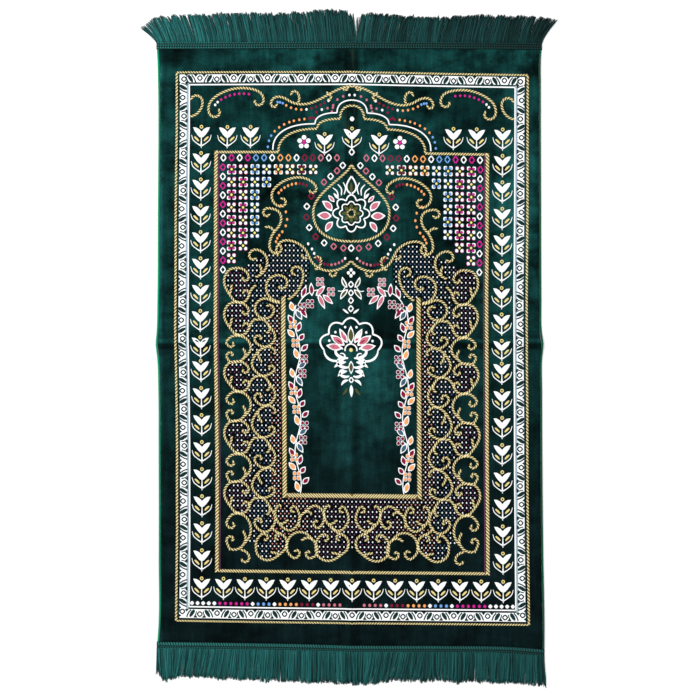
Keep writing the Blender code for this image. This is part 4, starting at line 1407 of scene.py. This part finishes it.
def build_overlock(sizes, side, material):
    """Stitched edge: a flattened round section carried along the side, swollen once for each slanted wrap."""
    values, inward = (SIDE_LEFT, 1.0) if side == "left" else (SIDE_RIGHT, -1.0)
    low, high = end_line(END_BOTTOM, side_edge(values, -0.54)), end_line(END_TOP, side_edge(values, 0.54))
    around = WRAP_SIDES
    wraps = int((high - low) / sizes.overlock_pitch)
    along = np.linspace(0.0, wraps, wraps * WRAP_STATIONS + 1)[:, None]
    turn = np.arange(around)[None, :] * 2 * math.pi / around
    y = low + (high - low) * along / wraps + 0.0 * turn
    outer = side_edge(values, y[:, :1])
    slant = WRAP_SLANT * np.sin(turn)
    swell = 1 - WRAP_SWELL + WRAP_SWELL * np.abs(np.sin(math.pi * (along + slant))) ** 0.6
    half_wide, half_thick = BINDING_WIDE * MM / 2, BINDING_THICK * MM / 2
    across = -np.cos(turn) * half_wide * swell
    height = np.sin(turn) * half_thick * swell
    x = outer + inward * (half_wide + across)
    z = crease_lift(outer, y) + half_thick + height
    points = np.stack([x, y, np.maximum(z, crease_lift(outer, y))], axis=-1)
    rows = len(along)
    faces = grid_faces(rows, around, close_columns=True)
    if side == "left":
        faces = faces[:, ::-1]
    caps = [points[row].mean(axis=0) for row in (0, rows - 1)]
    points = np.concatenate([points.reshape(-1, 3), caps])
    first = np.arange(around)
    after = (first + 1) % around
    tri = triangles(faces)
    last = (rows - 1) * around
    start = np.stack([first, after, np.full(around, rows * around)], axis=1)
    end = np.stack([after + last, first + last, np.full(around, rows * around + 1)], axis=1)
    if side == "right":
        start, end = start[:, ::-1], end[:, ::-1]
    tri = np.concatenate([tri, start, end])
    v = np.concatenate([np.repeat(along.ravel() / wraps, around), [0.0, 1.0]])
    u = np.concatenate([np.tile(np.arange(around) / around, rows), [0.5, 0.5]])
    return make_piece(f"overlock_{side}", points, tri, material, uv=np.stack([u, v], axis=1),
                      replaces=(f"binding_{side}",))


def tape_point(end, x, out):
    """Place on a heading: `out` metres beyond the end of the pile at x."""
    values, outward = (END_TOP, 1.0) if end == "top" else (END_BOTTOM, -1.0)
    return end_line(values, x) + outward * (PIECE_GAP * MM + out)


def tape_span(end):
    """X of the two ends of a heading."""
    y = tape_point(end, 0.0, TAPE_WIDE * MM / 2)
    return float(side_edge(SIDE_LEFT, y)), float(side_edge(SIDE_RIGHT, y))


RIBS, RIB_STATIONS = 290, 4     # ribs along a heading, and stations on each
RIB_RISE = 0.16                 # height of a rib in millimetres
HEADING_ROWS = 6                # points across a heading
HEADING_FACE, HEADING_CROWN = 0.62, 0.22    # height of its face and of the crown on it, in tape thicknesses
# Rows of stitches on the two headings, lengths in millimetres: (out, half width, pitch, slant, rise, shade)
HEADING_STITCHES = {
    "top": ((2.6, 1.9, 4.6, -0.5, 0.6, 1.5), (7.2, 2.0, 4.6, 0.5, 0.7, 1.25),
            (11.4, 1.0, 4.4, 0.4, 0.8, 2.1)),
    "bottom": ((3.6, 3.4, 4.8, 0.4, 0.6, 1.5), (9.4, 1.2, 4.4, -0.5, 0.7, 1.1),
               (12.2, 0.8, 4.4, 0.5, 0.8, 1.6)),
}
HEADING_FILL = 0.32             # half the thickness of such a stitch, as a share of the pitch
STITCH_SEAT = 0.8               # height of its foot, in tape thicknesses
STITCH_SINK = 0.5               # depth of its rim under its foot, in millimetres
# Painted shade on the two ends: the level of their colours from the rug's left to its right, darker towards
# the right
END_PAINTED_SHADE = {"top": ((0.0, 1.0), (0.5, 0.52), (1.0, 0.2)), "bottom": ((0.0, 1.0), (1.0, 0.5))}


def build_heading(end, material):
    """Heading tape: a thin slab across the rug, ribbed along its length by a small cosine in its height."""
    left, right = tape_span(end)
    stations, rows = RIBS * RIB_STATIONS + 1, HEADING_ROWS
    share = np.linspace(0.0, 1.0, stations)[:, None]
    out = np.linspace(0.0, 1.0, rows)[None, :]
    x = left + (right - left) * share + 0.0 * out
    y = tape_point(end, x, TAPE_WIDE * MM * out)
    lift = crease_lift(x, tape_point(end, x, 0.0))
    crown = np.sin(math.pi * np.clip(out, 0.04, 0.96)) ** 0.3
    rib = RIB_RISE * MM * np.cos(2 * math.pi * RIBS * share)
    face = lift + TAPE_THICK * MM * (HEADING_FACE + HEADING_CROWN * crown) + rib
    top = np.stack([x, y, face], axis=-1).reshape(-1, 3)
    base = np.stack([x, y, lift + 0.0 * y], axis=-1).reshape(-1, 3)
    faces = slab_faces(stations, rows)
    if end == "top":
        faces = faces[:, ::-1]
    return make_piece(f"heading_{end}", np.concatenate([top, base]), faces, material,
                      replaces=(f"fringe_{end}",))


def build_heading_stitches(end, material, rows):
    """Stitches along a heading: slanted pillows in rows, each (out, half width, pitch, slant, rise,
    shade)."""
    left, right = tape_span(end)
    path = Path([(x, 0.0) for x in np.linspace(left / MM + 1, right / MM - 1, 60)], straight=True)
    shapes, rims, shades = [], [], []
    for out, half, pitch, slant, rise, shade in rows:
        points, faces = stitches(path, half, slant, HEADING_FILL, pitch)
        x = points[:, 0] * MM
        y = tape_point(end, x, (out + points[:, 1]) * MM)
        lift = crease_lift(x, tape_point(end, x, 0.0)) + TAPE_THICK * MM * STITCH_SEAT
        z = lift + np.where(points[:, 2] > 0, points[:, 2] * rise, -STITCH_SINK) * MM
        shapes.append((np.stack([x, y, z], axis=1), faces))
        rims.append(points[:, 2] < 0)
        shades.append(np.full(len(points), shade))
    points, faces = join(shapes)
    faces = face_up(points, faces, np.concatenate(rims))
    return make_piece(f"heading_stitches_{end}", points, faces, material,
                      marks={"shade": np.concatenate(shades)})


def face_up(points, faces, rim):
    """Triangles turned so that tops face up, and those with only low points, which `rim` marks, face down."""
    a, b, c = (points[faces[:, k]] for k in range(3))
    up = np.cross(b - a, c - a)[:, 2]
    wanted = np.where(rim[faces].all(axis=1), -1.0, 1.0)
    flip = up * wanted < 0
    kept = faces.copy()
    kept[flip] = faces[flip][:, ::-1]
    return kept


FRINGE_STATIONS, FRINGE_SIDES = 7, 3
LEAN_CURVE = 1.3
UNDER_EVERY, UNDER_OF = 2, 5    # of so many yarns, these lie straight and dark under the strands
STRAND_LAYERS = 3               # heights at which the strands lie over each other
UNDER_THICK = 1.5               # thickness of an under-yarn against the others
# Painted shade: under-yarns darkened so that the gaps between the strands read as shade
UNDER_SHADE = 0.32              # level of an under-yarn against the others
LOCK_SPREAD, STRAND_SPREAD = (1.0, 1.2), (2.0, 1.4)     # spread of lean and reach, in millimetres
GATHER = 0.45                   # how far a yarn is drawn towards its strand's middle
TUCK = 1.5                      # how far a yarn starts inside the heading, in millimetres
BORDER_STRAY = 0.35             # how far the border between two strands strays, in strands
YARN_LEAN, YARN_SHORT, UNDER_SHORT = 0.5, 2.4, 1.0      # one yarn's stray lean and lost reach, in millimetres
LOCK_SHADE, STRAND_SHADES, YARN_SHADES = 0.1, (0.42, 1.55), (0.6, 1.4)     # spreads of the level
SHADE_LIMITS = (0.12, 2.0)
BUNDLE = (0.0, 0.14, 0.6, 1.0), (0.2, 1.0, 0.8, 0.2)    # places along a yarn, and share of its gather there
ROOT_HEIGHT, ROOT_STEP = 1.0, 0.25      # height of a yarn's root, and a layer's step there, in millimetres
REST_STEP = 1.25                # a layer's step on the floor, in radii of a yarn
FALL_SHARE, FALL_POWER = 0.35, 1.5      # share of a yarn in which it comes down, and the power of that fall
TIP_FROM, TIP_FALL = 0.75, 2.4  # share from which a yarn's tip sinks to the floor, and how fast
TAPER = (0.0, 0.85, 1.0), (1.0, 1.0, 0.55)      # places along a yarn, and its thickness there


def build_fringe(sizes, end, table, material, seed):
    """Fringe: each yarn is a three-sided tube from inside the heading to its tip. Its sideways place is root
    plus lean times share to the power LEAN_CURVE, drawn towards the middle of its strand, plus a slow wave;
    strands of a lock lean alike. Its height falls from the heading's to the floor. Thicker under-yarns,
    darkened as painted shade, lie straight below the strands, so that no floor shows between them."""
    chance = np.random.default_rng(seed)
    left, right = tape_span(end)
    outward = 1.0 if end == "top" else -1.0
    locks, strands, count = sizes.locks, sizes.strands, sizes.yarns
    knots = np.array([row[0] for row in table])
    index = np.arange(count)
    root_share = (index + chance.uniform(0.0, 1.0, count)) / count
    borders = np.arange(strands + 1) / strands
    borders[1:-1] += chance.uniform(-BORDER_STRAY, BORDER_STRAY, strands - 1) / strands
    strand = np.clip(np.searchsorted(borders, root_share) - 1, 0, strands - 1)
    centre = (borders[:-1] + borders[1:])[strand] / 2
    lock = (strand + chance.integers(-1, 2, strands)[strand]) * locks // strands
    under = index % UNDER_OF < UNDER_EVERY
    lock_lean, lock_reach = (chance.normal(0.0, spread, locks + 1)[lock] for spread in LOCK_SPREAD)
    strand_lean, strand_reach = (chance.normal(0.0, spread, strands)[strand] for spread in STRAND_SPREAD)
    root = left + (right - left) * root_share
    lean = (np.interp(root_share, knots, [row[1] for row in table]) + chance.normal(0.0, YARN_LEAN, count)
            + np.where(under, 0.0, lock_lean + strand_lean)) * MM
    reach = (np.interp(root_share, knots, [row[2] for row in table]) + lock_reach + strand_reach
             - np.abs(chance.normal(0.0, YARN_SHORT, count)) - np.where(under, UNDER_SHORT, 0.0)) * MM
    gather = (centre - root_share) * (right - left) * np.where(under, 0.0, GATHER)
    layer = np.where(under, 0, 1 + chance.integers(0, STRAND_LAYERS, strands)[strand])
    shade = (chance.normal(1.0, LOCK_SHADE, locks + 1)[lock] * chance.uniform(*STRAND_SHADES, strands)[strand]
             * chance.uniform(*YARN_SHADES, count))
    shade = np.clip(np.where(under, UNDER_SHADE * shade, shade), *SHADE_LIMITS)
    t = np.linspace(0.0, 1.0, FRINGE_STATIONS)[None, :]
    phase = chance.uniform(0.0, 2 * math.pi, (2, strands, 1))[:, strand]
    wave = (0.6 * np.sin(phase[0] + 5.0 * t) + 0.35 * np.sin(phase[1] + 11.0 * t)) * MM * t
    wave = np.where(under[:, None], 0.0, wave)
    bundle = np.interp(t, *BUNDLE)
    x = root[:, None] + lean[:, None] * t ** LEAN_CURVE + gather[:, None] * bundle + wave
    edge = tape_point(end, root, TAPE_WIDE * MM - TUCK * MM)
    y = edge[:, None] + outward * (reach[:, None] + TUCK * MM) * t
    radius = sizes.yarn_thick / 2 * np.where(under, UNDER_THICK, 1.0)[:, None]
    start = (crease_lift(root, edge) + ROOT_HEIGHT * MM + ROOT_STEP * MM * layer)[:, None]
    rest = radius * (1 + REST_STEP * layer[:, None])
    fall = np.clip(t / FALL_SHARE, 0.0, 1.0) ** FALL_POWER
    z = start * (1 - fall) + rest * fall
    z = np.where(t > TIP_FROM, z + (radius - z) * (t - TIP_FROM) * TIP_FALL, z)
    z = np.maximum(z, radius)
    path = np.stack([x, y, z], axis=-1)
    run = np.gradient(path, axis=1)
    across = np.stack([-run[..., 1], run[..., 0], np.zeros_like(x)], axis=-1)
    across /= np.linalg.norm(across, axis=-1, keepdims=True)
    turn = (np.arange(FRINGE_SIDES) + 0.5) * 2 * math.pi / FRINGE_SIDES
    thick = (radius * np.interp(t, *TAPER))[..., None, None]
    ring = (path[:, :, None] + thick * (np.cos(turn)[:, None] * across[:, :, None]
                                        + np.sin(turn)[:, None] * np.array([0.0, 0.0, 1.0])))
    one = triangles(grid_faces(FRINGE_STATIONS, FRINGE_SIDES, close_columns=True))
    last = (FRINGE_STATIONS - 1) * FRINGE_SIDES
    one = np.concatenate([one, [(2, 1, 0)], [(last, last + 1, last + 2)]])
    per = FRINGE_STATIONS * FRINGE_SIDES
    faces = (one[None] + np.arange(count)[:, None, None] * per).reshape(-1, 3)
    return make_piece(f"fringe_yarns_{end}", ring.reshape(-1, 3), faces, material,
                      marks={"shade": np.repeat(shade, per)})


def build_pattern(sizes, tints):
    """The coloured yarns: the whole chart is drawn, then each colour becomes one piece laid on the pile."""
    chart = Chart()
    draw_border(chart)
    draw_tulips(chart)
    draw_low_dots(chart)
    draw_frame(chart)
    draw_arch(chart)
    draw_flowers(chart)
    draw_medallion(chart)
    draw_scrolls(chart)
    draw_niche_frame(chart)
    draw_lattice(chart)
    draw_vine(chart)
    draw_niche_top(chart)
    draw_ornament(chart)
    made = []
    for yarn, shapes in sorted(chart.yarns.items()):
        points, faces = join(shapes)
        x, y = on_rug(points[:, 0], points[:, 1])
        mark = points[:, 2]
        height = np.select([mark <= OVER_RIM, mark < 0], [OVER_BASE * sizes.yarn_rise, -sizes.yarn_sink],
                           mark * sizes.yarn_rise)
        points = np.stack([x, y, crease_lift(x, y) + sizes.pile + height], axis=1)
        finish = yarn_finish(f"yarn_{yarn}", getattr(tints, yarn))
        made.append(make_piece(f"yarn_{yarn}", points, face_up(points, faces, mark < 0), finish))
    return made


# ---------------------------------------------------------------- stage

CAMERA_LENS, CAMERA_SENSOR = 85.0, 36.0
VIEW_WIDE = 1.2777
VIEW_X, VIEW_Y = 2.62 * MM, -4.5 * MM
FLOOR_HALF, FLOOR_LINES, FLOOR_GAP = 6.0, 25, 0.1 * MM
WORLD_LEVEL = 0.75
# Lights: name, place, size, energy
LIGHTS = (("key_light", (-1.6, 1.5, 2.6), 1.6, 62.0), ("fill_light", (1.4, -1.2, 3.0), 2.6, 22.0))


def area_light(name, place, size, energy):
    """A soft square light at a place, turned to the rug's middle."""
    data = bpy.data.lights.new(name, "AREA")
    data.shape = "SQUARE"
    data.size = size
    data.energy = energy
    light = bpy.data.objects.new(name, data)
    light.location = place
    light.rotation_euler = Vector(place).to_track_quat("Z", "Y").to_euler()
    bpy.context.scene.collection.objects.link(light)


def build_stage(tints):
    """Floor, lights, world and camera."""
    scene = bpy.context.scene
    across = np.linspace(-FLOOR_HALF, FLOOR_HALF, FLOOR_LINES)
    grid = np.stack(np.meshgrid(across, across), axis=-1).reshape(-1, 2)
    points = np.concatenate([grid, np.full((len(grid), 1), -FLOOR_GAP)], axis=1)
    mesh = bpy.data.meshes.new("floor")
    mesh.from_pydata(points.tolist(), [], grid_faces(FLOOR_LINES, FLOOR_LINES).tolist())
    mesh.materials.append(floor_finish(tints.floor))
    floor = bpy.data.objects.new("floor", mesh)
    scene.collection.objects.link(floor)
    for light in LIGHTS:
        area_light(*light)
    world = bpy.data.worlds.new("studio")
    world.use_nodes = True
    world.node_tree.nodes["Background"].inputs["Color"].default_value = (1.0, 1.0, 1.0, 1.0)
    world.node_tree.nodes["Background"].inputs["Strength"].default_value = WORLD_LEVEL
    scene.world = world
    scene.view_settings.view_transform = "Standard"
    data = bpy.data.cameras.new("camera")
    data.lens = CAMERA_LENS
    data.sensor_width = CAMERA_SENSOR
    camera = bpy.data.objects.new("camera", data)
    camera.location = (VIEW_X, VIEW_Y, VIEW_WIDE * CAMERA_LENS / CAMERA_SENSOR)
    scene.collection.objects.link(camera)
    scene.camera = camera


# ---------------------------------------------------------------- operators

class RugStep:
    """What the rug's operators share."""
    bl_options = {"REGISTER", "UNDO"}

    def execute(self, context):
        self.build(context.scene.prayer_rug_sizes, context.scene.prayer_rug_colours)
        return {"FINISHED"}


class RUG_OT_stage(RugStep, bpy.types.Operator):
    """Floor, lights and camera"""
    bl_idname = "rug.stage"
    bl_label = "Stage"

    def build(self, sizes, tints):
        build_stage(tints)


class RUG_OT_pile(RugStep, bpy.types.Operator):
    """Brushed pile cloth"""
    bl_idname = "rug.pile"
    bl_label = "Pile cloth"

    def build(self, sizes, tints):
        build_pile(sizes, tints)


class RUG_OT_overlock(RugStep, bpy.types.Operator):
    """Stitched edges down the two long sides"""
    bl_idname = "rug.overlock"
    bl_label = "Stitched edges"

    def build(self, sizes, tints):
        for side, level in OVERLOCK_LIGHT_AND_SHADE.items():
            # The right edge's thread is darkened as painted shade
            tint = tuple(np.array(tints.overlock) * level)
            build_overlock(sizes, side, thread_finish(f"overlock_{side}", tint, 0.5))


class RUG_OT_headings(RugStep, bpy.types.Operator):
    """Woven headings with their rows of chain stitches"""
    bl_idname = "rug.headings"
    bl_label = "Headings"

    def build(self, sizes, tints):
        # Headings and their stitches darkened towards the rug's right as painted shade
        for end, across in END_PAINTED_SHADE.items():
            build_heading(end, thread_finish(f"heading_{end}", tints.heading, 0.5, across))
            finish = thread_finish(f"stitch_{end}", tints.stitch, 0.4, across, "shade")
            build_heading_stitches(end, finish, HEADING_STITCHES[end])


class RUG_OT_fringes(RugStep, bpy.types.Operator):
    """Fine yarns that hang from the two headings"""
    bl_idname = "rug.fringes"
    bl_label = "Fringes"

    def build(self, sizes, tints):
        for end, table, seed in (("top", TOP_FRINGE, 3), ("bottom", BOTTOM_FRINGE, 8)):
            # Fringes darkened towards the rug's right as painted shade
            finish = thread_finish(f"fringe_{end}", tints.fringe, 0.5, END_PAINTED_SHADE[end], "shade")
            build_fringe(sizes, end, table, finish, seed)


class RUG_OT_pattern(RugStep, bpy.types.Operator):
    """Coloured yarns of the pattern, one piece for each colour"""
    bl_idname = "rug.pattern"
    bl_label = "Pattern"

    def build(self, sizes, tints):
        laid = build_pattern(sizes, tints)
        wide = side_edge(SIDE_RIGHT, 0.2) - side_edge(SIDE_LEFT, 0.2) - 2 * (BINDING_WIDE + PIECE_GAP) * MM
        tall = end_line(END_TOP, 0.0) - end_line(END_BOTTOM, 0.0)


class RUG_PT_parts(bpy.types.Panel):
    """Lists the rug's parts"""
    bl_label = "Prayer Rug"
    bl_idname = "RUG_PT_parts"
    bl_space_type = "VIEW_3D"
    bl_region_type = "UI"
    bl_category = "Prayer Rug"

    def draw(self, context):
        for step in STEPS:
            self.layout.operator(step.bl_idname)
        for group in (context.scene.prayer_rug_sizes, context.scene.prayer_rug_colours):
            for name in group.__annotations__:
                self.layout.prop(group, name)


STEPS = (RUG_OT_stage, RUG_OT_pile, RUG_OT_overlock, RUG_OT_headings, RUG_OT_fringes, RUG_OT_pattern)
CLASSES = (PrayerRugSizes, PrayerRugColours, *STEPS, RUG_PT_parts)


def register():
    for cls in CLASSES:
        bpy.utils.register_class(cls)
    bpy.types.Scene.prayer_rug_sizes = bpy.props.PointerProperty(type=PrayerRugSizes)
    bpy.types.Scene.prayer_rug_colours = bpy.props.PointerProperty(type=PrayerRugColours)


def unregister():
    del bpy.types.Scene.prayer_rug_colours
    del bpy.types.Scene.prayer_rug_sizes
    for cls in reversed(CLASSES):
        bpy.utils.unregister_class(cls)


def main():
    """Register the add-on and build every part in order."""
    register()
    bpy.ops.rug.stage()
    bpy.ops.rug.pile()
    bpy.ops.rug.overlock()
    bpy.ops.rug.headings()
    bpy.ops.rug.fringes()
    bpy.ops.rug.pattern()


if __name__ == "__main__":
    main()
